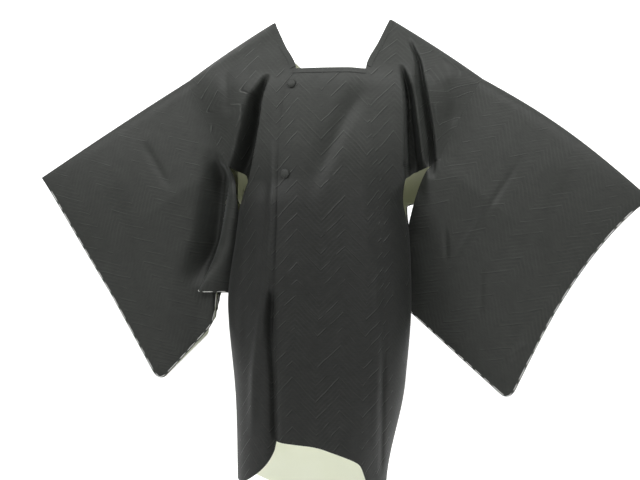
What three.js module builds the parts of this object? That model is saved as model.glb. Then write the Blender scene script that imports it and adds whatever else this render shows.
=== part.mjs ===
// A michiyuki coat: the square-necked outer coat worn over a kimono, in the form it has when it is worn.
//
// Millimetres, +Z up. X runs across the coat, with the wearer's left at +X. The front faces -Y.
// The origin is midway between the two shoulder points of the neck, where the wearer holds it up.
// Every piece of cloth is a thin closed wall on both sides of its middle surface.

import * as THREE from 'three';

// ---------- driving sizes ----------

const WALL = 2; // lined silk, doubled at the seams
const SEAM = 0.3; // between two pieces that are sewn edge to edge
const NECK_HALF = 120; // from the centre to the shoulder point of the neck
const NECK_FRONT_DEPTH = 117; // down to the level front edge of the neck
const NECK_BACK_DEPTH = 109; // the back of the neck is pulled down at the nape
const ARMHOLE_REACH = 306; // from the centre to the top of the armhole seam
const ARMHOLE_END = { reach: 220.5, height: -290 }; // lower end of the armhole seam
const SIDE_SEAM_TOP = -384; // the side is open between the armhole and this height
const COLLAR_WIDTH = 11;
const COLLAR_WALL = 1.2;
const COLLAR_CORNER_SHARE = 0.3;
const BAND_CLEARANCE = 0.85; // under a band or a lining that lies on curved cloth
const LAYER = 4; // the overlap lies this far outside what is under it
const FLAP_EASE = 34; // the overlap rises to its layer over this distance from its seam
const BUTTON_RADIUS = 9;
const BUTTON_HEIGHT = 6;
const LINING_WALL = 1;
const LINING_HEM_SHARE = 0.1; // the lining ends this share of a row above the hem
const CLOTH_COLOUR = 0x34373a;
const LINING_COLOUR = 0xe9ecd6;

// drop: of each shoulder, from the neck to the top of the armhole. arch: below 1 the shoulder is convex.
const LEFT = { hand: 1, name: 'left', drop: 125, arch: 0.8 };
const RIGHT = { hand: -1, name: 'right', drop: 118, arch: 0.92 };

// Sections of the body, from the neck to the hem. lean: x of the middle. front, back: y at the middle.
// leftSeam, rightSeam: from the middle to the seam of the front overlap, or to the side of the neck.
const SECTIONS = [
  { height: 0, lean: 0, front: -10, back: 10, leftSeam: 120, rightSeam: 120 },
  { height: -56, lean: 0, front: -72, back: 80, leftSeam: 100, rightSeam: 90 },
  { height: -117, lean: 0, front: -127, back: 120, leftSeam: 80, rightSeam: 58 },
  { height: -240, lean: -6, front: -138, back: 126, leftSeam: 92, rightSeam: 96 },
  { height: -384, lean: -18, front: -141, back: 118, leftSeam: 121, rightSeam: 100 },
  { height: -550, lean: -24, front: -143, back: 116, leftSeam: 138, rightSeam: 104 },
  { height: -740, lean: -23, front: -141, back: 120, leftSeam: 133, rightSeam: 132 },
  { height: -945, lean: -39, front: -128, back: 124, leftSeam: 134, rightSeam: 137 },
  { height: -1025, lean: -40, front: -124, back: 125, leftSeam: 134, rightSeam: 137 },
];

// The open edges between the armhole and the side seam, then the side seam: how far out they are from
// the middle, and their y. The back's edge hangs lower than the front's.
const FRONT_EDGE = [
  { height: -290, reach: 220.5, y: -20 },
  { height: -305, reach: 204, y: -32 },
  { height: -318, reach: 176, y: -42 },
  { height: -335, reach: 168, y: -34 },
  { height: -384, reach: 172, y: 0 },
  { height: -440, reach: 179, y: 0 },
  { height: -575, reach: 189, y: 0 },
  { height: -740, reach: 176, y: 0 },
  { height: -945, reach: 147, y: 0 },
  { height: -1025, reach: 142, y: 0 },
];
const BACK_EDGE = [
  { height: -290, reach: 220.5, y: 45 },
  { height: -302, reach: 214, y: 45 },
  { height: -345, reach: 203, y: 46 },
  { height: -374, reach: 190, y: 38 },
  { height: -384, reach: 172, y: 0 },
  { height: -440, reach: 179, y: 0 },
  { height: -575, reach: 189, y: 0 },
  { height: -740, reach: 176, y: 0 },
  { height: -945, reach: 147, y: 0 },
  { height: -1025, reach: 142, y: 0 },
];

// The free edge of the upper front overlap, from the corner of the neck to the hem, as x.
const FLAP_EDGE = [
  { height: -117, x: -58 },
  { height: -150, x: -74 },
  { height: -205, x: -83 },
  { height: -296, x: -90 },
  { height: -570, x: -95 },
  { height: -726, x: -101 },
  { height: -860, x: -97 },
];
const UNDER_EDGE_X = 38; // free edge of the lower overlap, hidden under the upper one

// The front hem is an arch: highest at its crown. It falls slowly towards the wearer's left, along the
// upper overlap, and at once on the other side of that overlap's free edge.
const HEM = { crown: -75, crownHeight: -849, sideHeight: -945, toLeft: 150, power: 3 };
const HEM_STEP = { x: -98, span: 78, power: 0.5 };
const BACK_HEM = { middleHeight: -1012, sideHeight: -948, halfWidth: 145 };

// Folds pressed into the front below each shoulder, from the neck side to the armpit.
const FRONT_FOLDS = [
  { hand: 1, fromX: 140, fromHeight: -100, toX: 167, toHeight: -325, depth: 36, halfWidth: 18 },
  { hand: 1, fromX: 180, fromHeight: -60, toX: 214, toHeight: -285, depth: 12, halfWidth: 13 },
  { hand: -1, fromX: 142, fromHeight: -128, toX: 196, toHeight: -322, depth: 30, halfWidth: 25 },
];

// Sleeves. p runs from the armhole (0) to the cuff (1), q from the folded top (0) to the bottom (1).
const SLEEVE = {
  armholeShare: 0.4, // share of q that the armhole seam takes
  openShare: 0.55, // share of q that the cuff is open
  edgeGap: 2.5, // half the space between the two layers where they are sewn or folded
  cornerRadius: 30,
  seamGap: 0.4, // from the body's armhole edge
  insetSkew: 0.68, // below 1 the cuff is drawn in most above its middle
};
// Room for an arm between the layers: at its most, and how full it stays towards the sides and the ends.
const SLEEVE_ROOM = { most: 12, acrossPower: 0.8, downPower: 0.7 };
const SLEEVES = {
  left: {
    cuffTop: [638, 0, -372],
    cuffBottom: [362, 20, -784],
    furiBottom: [120, 96, -574],
    cuffInset: 38,
    cuffGap: 11,
    topArch: 17,
  },
  right: {
    cuffTop: [631, 0, -319],
    cuffBottom: [374, 12, -757],
    furiBottom: [194, 60, -566],
    cuffInset: 7,
    cuffGap: 11,
    topArch: 2,
  },
};

// The wearer's right sleeve folds over itself below the armhole. Places along its bottom edge, as
// the share p of the sleeve, with the distance that the cloth lies away from a straight bottom edge.
const PLEAT = [
  { p: 0, out: 0, depth: 0, rise: 0, backOut: 0 },
  { p: 0.12, out: 20, depth: -32, rise: 25, backOut: 22 },
  { p: 0.24, out: 46, depth: -46, rise: 47, backOut: 30 },
  { p: 0.29, out: 39, depth: -38, rise: 42, backOut: 26 },
  { p: 0.38, out: -10, depth: -18, rise: 20, backOut: 12 },
  { p: 0.43, out: -12, depth: -11, rise: 14, backOut: 4 },
  { p: 0.6, out: 0, depth: 0, rise: 4, backOut: 0 },
  { p: 1, out: 0, depth: 0, rise: 0, backOut: 0 },
];

// ---------- curves through the tables ----------

// A smooth curve through a table's rows that never overshoots them (monotone cubic).
function through(rows, at, column) {
  const x = rows.map((row) => row[at]);
  const y = rows.map((row) => row[column]);
  const slope = x.slice(1).map((end, k) => (y[k + 1] - y[k]) / (end - x[k]));
  const tangent = x.map((_, k) => {
    if (k === 0) return slope[0];
    if (k === x.length - 1) return slope[k - 1];
    const [before, after] = [slope[k - 1], slope[k]];
    return before * after <= 0 ? 0 : (2 * before * after) / (before + after);
  });
  const up = x[1] > x[0];
  return (value) => {
    let k = 0;
    while (k < x.length - 2 && (up ? value > x[k + 1] : value < x[k + 1])) k += 1;
    const span = x[k + 1] - x[k];
    const t = Math.min(1, Math.max(0, (value - x[k]) / span));
    const [t2, t3] = [t * t, t * t * t];
    return (
      (2 * t3 - 3 * t2 + 1) * y[k] +
      (t3 - 2 * t2 + t) * span * tangent[k] +
      (3 * t2 - 2 * t3) * y[k + 1] +
      (t3 - t2) * span * tangent[k + 1]
    );
  };
}

const section = Object.fromEntries(
  ['lean', 'front', 'back', 'leftSeam', 'rightSeam'].map((name) => [name, through(SECTIONS, 'height', name)]),
);
const sideEdge = {
  front: { reach: through(FRONT_EDGE, 'height', 'reach'), y: through(FRONT_EDGE, 'height', 'y') },
  back: { reach: through(BACK_EDGE, 'height', 'reach'), y: through(BACK_EDGE, 'height', 'y') },
};
const flapEdgeX = through(FLAP_EDGE, 'height', 'x');
const pleat = Object.fromEntries(
  ['out', 'depth', 'rise', 'backOut'].map((name) => [name, through(PLEAT, 'p', name)]),
);

const lerp = THREE.MathUtils.lerp;

// 0 at `from` and before it, 1 at `to` and past it, whichever of the two is higher.
function smooth(from, to, value) {
  const t = THREE.MathUtils.clamp((value - from) / (to - from), 0, 1);
  return t * t * (3 - 2 * t);
}

// ---------- the body surface ----------

// How far the body goes out from its middle at a height: along the shoulder, the armhole, the side.
function reach(side, height, face) {
  if (height > -side.drop) {
    return lerp(NECK_HALF, ARMHOLE_REACH, (Math.max(0, -height) / side.drop) ** side.arch);
  }
  if (height > ARMHOLE_END.height) {
    const share = (-height - side.drop) / (-ARMHOLE_END.height - side.drop);
    return lerp(ARMHOLE_REACH, ARMHOLE_END.reach, share);
  }
  return sideEdge[face].reach(height);
}

// The y of the outer edge of the front or back. Both are 0 along the shoulder, which is a fold.
function edgeY(side, height, face) {
  if (height > -side.drop) return 0;
  if (height < ARMHOLE_END.height) return sideEdge[face].y(height);
  const share = (-height - side.drop) / (-ARMHOLE_END.height - side.drop);
  return sideEdge[face].y(ARMHOLE_END.height) * Math.sqrt(share);
}

// Shares of a fold's length over which it deepens, and over which it fades again past the armpit.
const FOLD_DEEPENS = [0, 0.45];
const FOLD_FADES = [0.86, 1.15];

function foldDepth(side, x, height) {
  let depth = 0;
  for (const fold of FRONT_FOLDS.filter((row) => row.hand === side.hand)) {
    const run = (fold.fromHeight - height) / (fold.fromHeight - fold.toHeight);
    const centre = lerp(fold.fromX, fold.toX, run);
    const across = (Math.abs(x) - centre) / fold.halfWidth;
    const along = smooth(...FOLD_DEEPENS, run) * (1 - smooth(...FOLD_FADES, run));
    depth += fold.depth * along * Math.exp(-across * across);
  }
  return depth;
}

const OVAL_START = -230; // the section starts to turn from flat-sided to oval here

// A point of the body at x and a height, on the front or the back. Above the armpit the section runs
// out flat to the armhole; below it the section is an oval.
function bodyPoint(side, x, height, face) {
  const lean = leanAt(height);
  const middle = section[face](height);
  const edge = edgeY(side, height, face);
  const share = Math.min(1, Math.abs(x - lean) / reach(side, height, face));
  const power = lerp(1, 0.5, smooth(OVAL_START, SIDE_SEAM_TOP, height));
  const y = edge + (middle - edge) * (1 - share * share) ** power;
  const fold = face === 'front' ? foldDepth(side, x, height) : 0;
  return new THREE.Vector3(x, y + fold, height);
}

const NORMAL_STEP = 0.8;

// The outside normal of the front, whichever half x is on.
function frontNormal(x, height) {
  const side = x < leanAt(height) ? RIGHT : LEFT;
  const at = (dx, dz) => bodyPoint(side, x + dx, height + dz, 'front');
  const across = at(NORMAL_STEP, 0).sub(at(-NORMAL_STEP, 0));
  const down = at(0, -NORMAL_STEP).sub(at(0, NORMAL_STEP));
  const normal = across.cross(down).normalize();
  return normal.y > 0 ? normal.negate() : normal;
}

// Below the armholes the coat hangs a little towards the wearer's right.
function leanAt(height) {
  return section.lean(height) * smooth(ARMHOLE_END.height, SIDE_SEAM_TOP, height);
}

function seamX(side, height) {
  return leanAt(height) + side.hand * section[`${side.name}Seam`](height);
}

function frontHem(x) {
  if (x < HEM_STEP.x) {
    const past = Math.min(1, (HEM_STEP.x - x) / HEM_STEP.span);
    return lerp(HEM.crownHeight, HEM.sideHeight, past ** HEM_STEP.power);
  }
  const share = Math.min(1, Math.max(0, x - HEM.crown) / HEM.toLeft);
  return lerp(HEM.crownHeight, HEM.sideHeight, share ** HEM.power);
}

function backHem(x) {
  const share = Math.min(1, Math.abs(x - leanAt(BACK_HEM.middleHeight)) / BACK_HEM.halfWidth);
  return lerp(BACK_HEM.middleHeight, BACK_HEM.sideHeight, share * share);
}

// ---------- closed walls from grids of points ----------

const add = (a, b, scale) => a.clone().addScaledVector(b, scale);

// Normals of a grid, from its own points.
function gridNormals(grid) {
  const last = [grid.length - 1, grid[0].length - 1];
  return grid.map((row, i) =>
    row.map((_, j) => {
      const along = grid[Math.min(i + 1, last[0])][j].clone().sub(grid[Math.max(i - 1, 0)][j]);
      const across = row[Math.min(j + 1, last[1])].clone().sub(row[Math.max(j - 1, 0)]);
      return along.cross(across).normalize();
    }),
  );
}

class ClosedMesh {
  constructor() {
    this.points = [];
    this.faces = [];
  }

  layer(grid) {
    return grid.map((row) =>
      row.map((point) => {
        this.points.push(point);
        return this.points.length - 1;
      }),
    );
  }

  quad(a, b, c, d) {
    this.faces.push([a, b, c], [a, c, d]);
  }

  sheet(layer, flipped) {
    for (let i = 0; i + 1 < layer.length; i += 1) {
      for (let j = 0; j + 1 < layer[0].length; j += 1) {
        const corner = [layer[i + 1][j], layer[i + 1][j + 1], layer[i][j + 1], layer[i][j]];
        // The same diagonal on both layers keeps the wall's thickness even.
        if (flipped) this.faces.push([corner[0], corner[2], corner[1]], [corner[0], corner[3], corner[2]]);
        else this.quad(...corner);
      }
    }
  }

  geometry() {
    const volume = this.faces.reduce((sum, [a, b, c]) => {
      const cross = this.points[b].clone().cross(this.points[c]);
      return sum + this.points[a].dot(cross) / 6;
    }, 0);
    const faces = volume < 0 ? this.faces.map(([a, b, c]) => [a, c, b]) : this.faces;
    const geometry = new THREE.BufferGeometry();
    geometry.setAttribute(
      'position',
      new THREE.Float32BufferAttribute(this.points.flatMap((point) => point.toArray()), 3),
    );
    geometry.setIndex(faces.flat());
    return geometry;
  }
}

// A closed wall: the grid moved along its normals by half the thickness to each side.
function wallGeometry(grid, normals, thickness) {
  const mesh = new ClosedMesh();
  const moved = (shift) => grid.map((row, i) => row.map((point, j) => add(point, normals[i][j], shift)));
  const outer = mesh.layer(moved(thickness / 2));
  const inner = mesh.layer(moved(-thickness / 2));
  mesh.sheet(outer, false);
  mesh.sheet(inner, true);
  const [rows, columns] = [grid.length - 1, grid[0].length - 1];
  for (let i = 0; i < rows; i += 1) {
    mesh.quad(outer[i + 1][0], outer[i][0], inner[i][0], inner[i + 1][0]);
    mesh.quad(outer[i][columns], outer[i + 1][columns], inner[i + 1][columns], inner[i][columns]);
  }
  for (let j = 0; j < columns; j += 1) {
    mesh.quad(outer[0][j], outer[0][j + 1], inner[0][j + 1], inner[0][j]);
    mesh.quad(outer[rows][j + 1], outer[rows][j], inner[rows][j], inner[rows][j + 1]);
  }
  return mesh.geometry();
}

// ---------- body panels ----------

const ACROSS = 12; // columns of a body panel
const NECK_ROWS = 5;
const NAPE_ROWS = 7;
const ARM_ROWS = 5;
const OPEN_ROWS = 4;
const SKIRT_ROWS = 9;
const INNER_ARM_END = -262; // the row that leaves the lower end of the armhole meets the overlap here
const HEM_ROWS_TOP = -600; // below this height the rows turn gradually to follow the hem

// Heights of the rows at the armhole side, from the shoulder to the hem.
function outerHeights(side) {
  const heights = [-side.drop];
  const below = (from, to, count) => {
    for (let k = 1; k <= count; k += 1) heights.push(lerp(from, to, k / count));
  };
  below(-side.drop, ARMHOLE_END.height, NECK_ROWS + ARM_ROWS);
  below(ARMHOLE_END.height, SIDE_SEAM_TOP, OPEN_ROWS);
  below(SIDE_SEAM_TOP, HEM.sideHeight, SKIRT_ROWS);
  return heights;
}

// The panel's inner end on the same rows: down the neck, then down the overlap's seam.
function frontInnerHeights() {
  const heights = [0];
  const below = (from, to, count) => {
    for (let k = 1; k <= count; k += 1) heights.push(lerp(from, to, k / count));
  };
  below(0, -NECK_FRONT_DEPTH, NECK_ROWS);
  below(-NECK_FRONT_DEPTH, INNER_ARM_END, ARM_ROWS);
  below(INNER_ARM_END, SIDE_SEAM_TOP, OPEN_ROWS);
  below(SIDE_SEAM_TOP, HEM.sideHeight, SKIRT_ROWS);
  return heights;
}

// Points of one row, from its inner end to its outer end. They crowd towards the outer end, where the
// oval turns to the side.
function rowPoints(inner, outer, hem) {
  const points = [];
  for (let k = 0; k <= ACROSS; k += 1) {
    const share = Math.sin((k / ACROSS) * 0.5 * Math.PI);
    const x = lerp(inner.x, outer.x, share);
    const level = lerp(inner.height, outer.height, k === ACROSS ? 1 : share);
    points.push({ x, height: hem(x, level) });
  }
  return points;
}

// Stretches the lowest rows so that they end on the hem.
function towardsHem(hemAt) {
  return (x, level) => {
    if (level > HEM_ROWS_TOP) return level;
    return lerp(HEM_ROWS_TOP, hemAt(x), (level - HEM_ROWS_TOP) / (HEM.sideHeight - HEM_ROWS_TOP));
  };
}

function outerX(side, height, face) {
  return leanAt(height) + side.hand * reach(side, height, face);
}

function frontRows(side) {
  const outer = outerHeights(side);
  const hem = towardsHem(frontHem);
  return frontInnerHeights().map((height, k) => {
    const innerEnd = { x: seamX(side, height) + side.hand * (SEAM / 2), height };
    if (k === 0) innerEnd.x = side.hand * NECK_HALF;
    const outerEnd = { x: outerX(side, outer[k], 'front'), height: outer[k] };
    return rowPoints(innerEnd, outerEnd, hem);
  });
}

// The back: its inner end follows the curve of the nape, then the centre-back seam.
function backRows(side) {
  const outer = outerHeights(side);
  const hem = towardsHem(backHem);
  return outer.map((outerHeight, k) => {
    const turn = Math.min(1, k / NAPE_ROWS) * 0.5 * Math.PI;
    const nape = { x: NECK_HALF * Math.cos(turn), height: -NECK_BACK_DEPTH * Math.sin(turn) };
    const share = Math.max(0, k - NAPE_ROWS) / (NECK_ROWS + ARM_ROWS + OPEN_ROWS - NAPE_ROWS);
    const height = k <= NAPE_ROWS ? nape.height : lerp(-NECK_BACK_DEPTH, SIDE_SEAM_TOP, share);
    const innerHeight = outerHeight < SIDE_SEAM_TOP ? outerHeight : height;
    const middle = leanAt(innerHeight) + side.hand * (SEAM / 2);
    const innerEnd = { x: k < NAPE_ROWS ? side.hand * nape.x : middle, height: innerHeight };
    const outerEnd = { x: outerX(side, outerHeight, 'back'), height: outerHeight };
    return rowPoints(innerEnd, outerEnd, hem);
  });
}

// The points of the front or the back of a body panel. Along the side seam both end on one line.
function panelOf(side, face) {
  const rows = face === 'front' ? frontRows(side) : backRows(side);
  const grid = rows.map((row) => row.map(({ x, height }) => bodyPoint(side, x, height, face)));
  for (const row of grid) {
    const edge = row[ACROSS];
    if (edge.z <= SIDE_SEAM_TOP) edge.y = face === 'front' ? -SEAM / 2 : SEAM / 2;
  }
  return grid;
}

// One body width: up the front, over the shoulder and down the back. Where an edge is sewn to another
// piece its normal stays in the seam's own plane, so that the two walls stay SEAM apart all through.
function bodyPanel(side) {
  const front = panelOf(side, 'front');
  const back = panelOf(side, 'back');
  const grid = [...front.slice().reverse(), ...back.slice(1)];
  const normals = gridNormals(grid);
  const frontNormalY = normals[Math.floor(front.length / 2)][Math.floor(ACROSS / 2)].y;
  const outwards = -Math.sign(frontNormalY);
  const acrossSide = new THREE.Vector3(0, 1, 0);
  for (const [i, row] of normals.entries()) {
    for (const normal of row) normal.multiplyScalar(outwards);
    const height = grid[i][ACROSS].z;
    if (height > ARMHOLE_END.height - 1) flatten(row[ACROSS], sleeveDirection(side));
    if (height <= SIDE_SEAM_TOP) flatten(row[ACROSS], acrossSide);
    // Along the overlap's seam both pieces have the surface's own normal.
    if (i < front.length - 1) row[0] = frontNormal(grid[i][0].x, grid[i][0].z);
  }
  return { grid, normals, shoulder: front.length - 1 };
}

// Takes out of a normal what points across a seam.
function flatten(normal, across) {
  normal.addScaledVector(across, -normal.dot(across)).normalize();
  return normal;
}

function sleeveDirection(side) {
  const top = new THREE.Vector3(side.hand * ARMHOLE_REACH, 0, -side.drop);
  const end = new THREE.Vector3(side.hand * ARMHOLE_END.reach, 0, ARMHOLE_END.height);
  const down = end.sub(top).normalize();
  return new THREE.Vector3(-down.z * side.hand, 0, down.x * side.hand).normalize();
}

// ---------- front overlaps, collar, lining ----------

const OVERLAP_COLUMNS = 9;

// A strip of the front between two edges given as functions of the height, lifted by `liftAt(x)`. Its
// rows are those of the body panels, so that the seams match.
function frontStrip(fromX, toX, liftAt) {
  const hem = towardsHem(frontHem);
  const grid = [];
  const normals = [];
  for (const level of frontInnerHeights().slice(NECK_ROWS)) {
    const pointRow = [];
    const normalRow = [];
    for (let j = 0; j <= OVERLAP_COLUMNS; j += 1) {
      const x = lerp(fromX(level), toX(level), j / OVERLAP_COLUMNS);
      const height = hem(x, level);
      const side = x < leanAt(height) ? RIGHT : LEFT;
      const normal = frontNormal(x, height);
      pointRow.push(bodyPoint(side, x, height, 'front').addScaledVector(normal, liftAt(x, height)));
      normalRow.push(normal);
    }
    grid.push(pointRow);
    normals.push(normalRow);
  }
  return { grid, normals };
}

function overlapLift(x, height) {
  return LAYER * smooth(0, FLAP_EASE, seamX(LEFT, height) - x);
}

function overlapPanel(side) {
  const seam = (height) => seamX(side, height) - side.hand * (SEAM / 2);
  if (side === LEFT) return frontStrip(flapEdgeX, seam, overlapLift);
  return frontStrip(seam, () => UNDER_EDGE_X, () => 0);
}

const BAND_START_SHARE = 0.04; // a band starts this share of its width in from the edge

// A band that lies on a panel along an edge: for each place on the edge, the edge's own point and
// normal, and those of the next point into the panel.
function bandOn(places, width, thickness) {
  const rise = WALL / 2 + BAND_CLEARANCE + thickness / 2;
  const rows = places.map(({ edge, next, edgeNormal, nextNormal }) => {
    const share = width / edge.distanceTo(next);
    const shares = [BAND_START_SHARE * share, 0.5 * share, share];
    const normals = shares.map((at) => edgeNormal.clone().lerp(nextNormal, at).normalize());
    const points = shares.map((at, k) => edge.clone().lerp(next, at).addScaledVector(normals[k], rise));
    return { points, normals };
  });
  return wallGeometry(rows.map((row) => row.points), rows.map((row) => row.normals), thickness);
}

// The inner end of a panel's row, with the next point of that row.
function edgePlace(panel, i) {
  return {
    edge: panel.grid[i][0].clone(),
    next: panel.grid[i][1].clone(),
    edgeNormal: panel.normals[i][0].clone(),
    nextNormal: panel.normals[i][1].clone(),
  };
}

// The collar band down one side of the neck, on the front of a body panel.
function collarSideGeometry(panel) {
  const places = [];
  for (let k = NECK_ROWS; k > 0; k -= 1) places.push(edgePlace(panel, panel.shoulder - k));
  // The band stops short of the corner, where the front band crosses it.
  const end = places[0];
  for (const [name, value] of Object.entries(places[1])) end[name].lerp(value, COLLAR_CORNER_SHARE);
  return bandOn(places, COLLAR_WIDTH, COLLAR_WALL);
}

// The collar band along the level front of the neck, on the upper overlap.
function collarFrontGeometry(overlap) {
  const places = overlap.grid[0].map((edge, j) => ({
    edge,
    next: overlap.grid[1][j],
    edgeNormal: overlap.normals[0][j],
    nextNormal: overlap.normals[1][j],
  }));
  return bandOn(places, COLLAR_WIDTH, COLLAR_WALL);
}

// The collar band along the nape, from one shoulder to the other, on both backs.
function collarBackGeometry(panels) {
  const placesOn = (panel) =>
    Array.from({ length: NAPE_ROWS }, (_, k) => edgePlace(panel, panel.shoulder + k + 1));
  const [left, right] = panels.map(placesOn);
  return bandOn([...left.slice(0, -1), ...right.reverse()], COLLAR_WIDTH, COLLAR_WALL);
}

// The lining inside the back, from the top of the side seams to just above the hem, all in one.
function liningGeometry(panels) {
  const rise = -(WALL / 2 + BAND_CLEARANCE + LINING_WALL / 2);
  const rowsOn = (panel) => {
    const start = panel.grid.findIndex((row, i) => i > panel.shoulder && row[ACROSS].z <= SIDE_SEAM_TOP);
    const points = panel.grid.slice(start).map((row) => row.slice(0, ACROSS));
    const normals = panel.normals.slice(start).map((row) => row.slice(0, ACROSS));
    const last = points.length - 1;
    points[last] = points[last].map((point, j) => point.clone().lerp(points[last - 1][j], LINING_HEM_SHARE));
    return { points, normals };
  };
  const [left, right] = panels.map(rowsOn);
  const joined = (name) => left[name].map((row, i) => [...right[name][i].slice(1).reverse(), ...row]);
  const grid = joined('points');
  const normals = joined('normals');
  const moved = grid.map((row, i) => row.map((point, j) => add(point, normals[i][j], rise)));
  return wallGeometry(moved, normals, LINING_WALL);
}

// ---------- sleeves ----------

const PLEAT_COLUMNS = [0, 0.08, 0.17, 0.24, 0.29, 0.335, 0.38, 0.43, 0.55];
const LEAST_PLEAT_SPREAD = 0.35; // the columns of the fold draw together upwards no closer than this
const CORNER_COLUMNS = 2;
const PLAIN_COLUMNS = 4; // between the fold and the rounded corner
const SLEEVE_COLUMNS = PLEAT_COLUMNS.length + PLAIN_COLUMNS + CORNER_COLUMNS;
const ARMHOLE_ROWS = NECK_ROWS + ARM_ROWS;
const LOWER_ROWS = 9;
const SLEEVE_ROWS = ARMHOLE_ROWS + LOWER_ROWS;
const PLEAT_GROWTH = 1.1; // power of the fold's growth down the sleeve

// Rows of a sleeve as shares of q: along the armhole, down to the corner, and through the corner.
function sleeveRow(j, drop) {
  if (j <= ARMHOLE_ROWS) return (SLEEVE.armholeShare * j) / ARMHOLE_ROWS;
  const corner = 1 - SLEEVE.cornerRadius / drop;
  const cornerStart = SLEEVE_ROWS - CORNER_COLUMNS;
  if (j <= cornerStart) {
    return lerp(SLEEVE.armholeShare, corner, (j - ARMHOLE_ROWS) / (cornerStart - ARMHOLE_ROWS));
  }
  return lerp(corner, 1, (j - cornerStart) / CORNER_COLUMNS);
}

function sleeveColumn(i, q, width) {
  const below = Math.max(0, (q - SLEEVE.armholeShare) / (1 - SLEEVE.armholeShare));
  const spread = Math.max(LEAST_PLEAT_SPREAD, below);
  const last = PLEAT_COLUMNS.length - 1;
  const corner = 1 - SLEEVE.cornerRadius / width;
  const cornerStart = SLEEVE_COLUMNS - CORNER_COLUMNS;
  if (i <= last) return PLEAT_COLUMNS[i] * spread;
  if (i <= cornerStart) return lerp(PLEAT_COLUMNS[last] * spread, corner, (i - last) / (cornerStart - last));
  return lerp(corner, 1, (i - cornerStart) / CORNER_COLUMNS);
}

// Rounds the outer lower corner: the square that holds it is drawn in to a quarter circle.
function roundedShares(p, q, width, drop) {
  const [sizeP, sizeQ] = [SLEEVE.cornerRadius / width, SLEEVE.cornerRadius / drop];
  const [a, b] = [(p - 1 + sizeP) / sizeP, (q - 1 + sizeQ) / sizeQ];
  if (a <= 0 || b <= 0) return [p, q];
  return [
    1 - sizeP + sizeP * a * Math.sqrt(1 - (b * b) / 2),
    1 - sizeQ + sizeQ * b * Math.sqrt(1 - (a * a) / 2),
  ];
}

// The inner edge of a sleeve's front or back layer: the armhole, then the free edge below it.
function sleeveInnerEdge(side, q, face) {
  const sizes = SLEEVES[side.name];
  const armhole = Math.min(1, q / SLEEVE.armholeShare);
  const height = lerp(-side.drop, ARMHOLE_END.height, armhole);
  const point = new THREE.Vector3(side.hand * reach(side, height, face), edgeY(side, height, face), height);
  const gap = face === 'front' ? -SLEEVE.edgeGap : SLEEVE.edgeGap;
  point.y = face === 'front' ? Math.min(point.y, gap) : Math.max(point.y, gap);
  point.addScaledVector(sleeveDirection(side), SLEEVE.seamGap);
  if (q <= SLEEVE.armholeShare) return point;
  const below = (q - SLEEVE.armholeShare) / (1 - SLEEVE.armholeShare);
  const bottom = new THREE.Vector3(...sizes.furiBottom);
  bottom.x *= side.hand;
  bottom.y += gap;
  return point.lerp(bottom, below);
}

function sleeveOuterEdge(side, q, face) {
  const sizes = SLEEVES[side.name];
  const top = new THREE.Vector3(...sizes.cuffTop);
  const bottom = new THREE.Vector3(...sizes.cuffBottom);
  const point = top.lerp(bottom, q);
  const open = Math.min(1, q / SLEEVE.openShare);
  const inset = sizes.cuffInset * Math.sin(Math.PI * q ** SLEEVE.insetSkew);
  point.x = side.hand * (point.x - inset);
  const gap = SLEEVE.edgeGap + (sizes.cuffGap - SLEEVE.edgeGap) * Math.sin(Math.PI * open);
  point.y += face === 'front' ? -gap : gap;
  return point;
}

// How far a sleeve's layers stand apart between its edges.
function sleeveRoom(p, q) {
  const acrossRoom = Math.sin(Math.PI * Math.min(1, p)) ** SLEEVE_ROOM.acrossPower;
  const downRoom = Math.sin(Math.PI * Math.min(1, q)) ** SLEEVE_ROOM.downPower;
  return SLEEVE_ROOM.most * acrossRoom * downRoom;
}

function sleevePoint(side, p, q, face) {
  const point = sleeveInnerEdge(side, q, face).lerp(sleeveOuterEdge(side, q, face), p);
  point.y += (face === 'front' ? -1 : 1) * sleeveRoom(p, q);
  point.z += SLEEVES[side.name].topArch * Math.sin(Math.PI * p) * (1 - q) ** 2;
  const below = (q - SLEEVE.armholeShare) / (1 - SLEEVE.armholeShare);
  if (side === LEFT || below <= 0) return point;
  // The fold starts at the end of the armhole and widens towards the bottom edge.
  const local = Math.min(1, p / below);
  const size = below ** PLEAT_GROWTH;
  point.z += pleat.rise(local) * size;
  point.x += side.hand * size * (face === 'front' ? pleat.out(local) : pleat.backOut(local));
  if (face === 'front') point.y += pleat.depth(local) * size;
  return point;
}

// A sleeve is two layers, joined along the top fold, the bottom and the lower part of the cuff. It is
// open along the armhole and the edge below it, and at the upper part of the cuff.
function sleeveGeometry(side) {
  const sizes = SLEEVES[side.name];
  const top = new THREE.Vector3(side.hand * ARMHOLE_REACH, 0, -side.drop);
  const cuff = new THREE.Vector3(side.hand * sizes.cuffTop[0], 0, sizes.cuffTop[2]);
  const bottom = new THREE.Vector3(side.hand * sizes.cuffBottom[0], 0, sizes.cuffBottom[2]);
  const width = top.distanceTo(cuff);
  const drop = cuff.distanceTo(bottom);
  const layerGrid = (face) =>
    Array.from({ length: SLEEVE_ROWS + 1 }, (_, j) =>
      Array.from({ length: SLEEVE_COLUMNS + 1 }, (__, i) => {
        const q = sleeveRow(j, drop);
        const [roundP, roundQ] = roundedShares(sleeveColumn(i, q, width), q, width, drop);
        return sleevePoint(side, roundP, roundQ, face);
      }),
    );
  const grids = { front: layerGrid('front'), back: layerGrid('back') };
  const openRow = Array.from({ length: SLEEVE_ROWS + 1 }, (_, j) => sleeveRow(j, drop))
    .findIndex((q) => q >= SLEEVE.openShare);
  return pouchGeometry(grids.front, grids.back, openRow, sleeveDirection(side));
}

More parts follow.
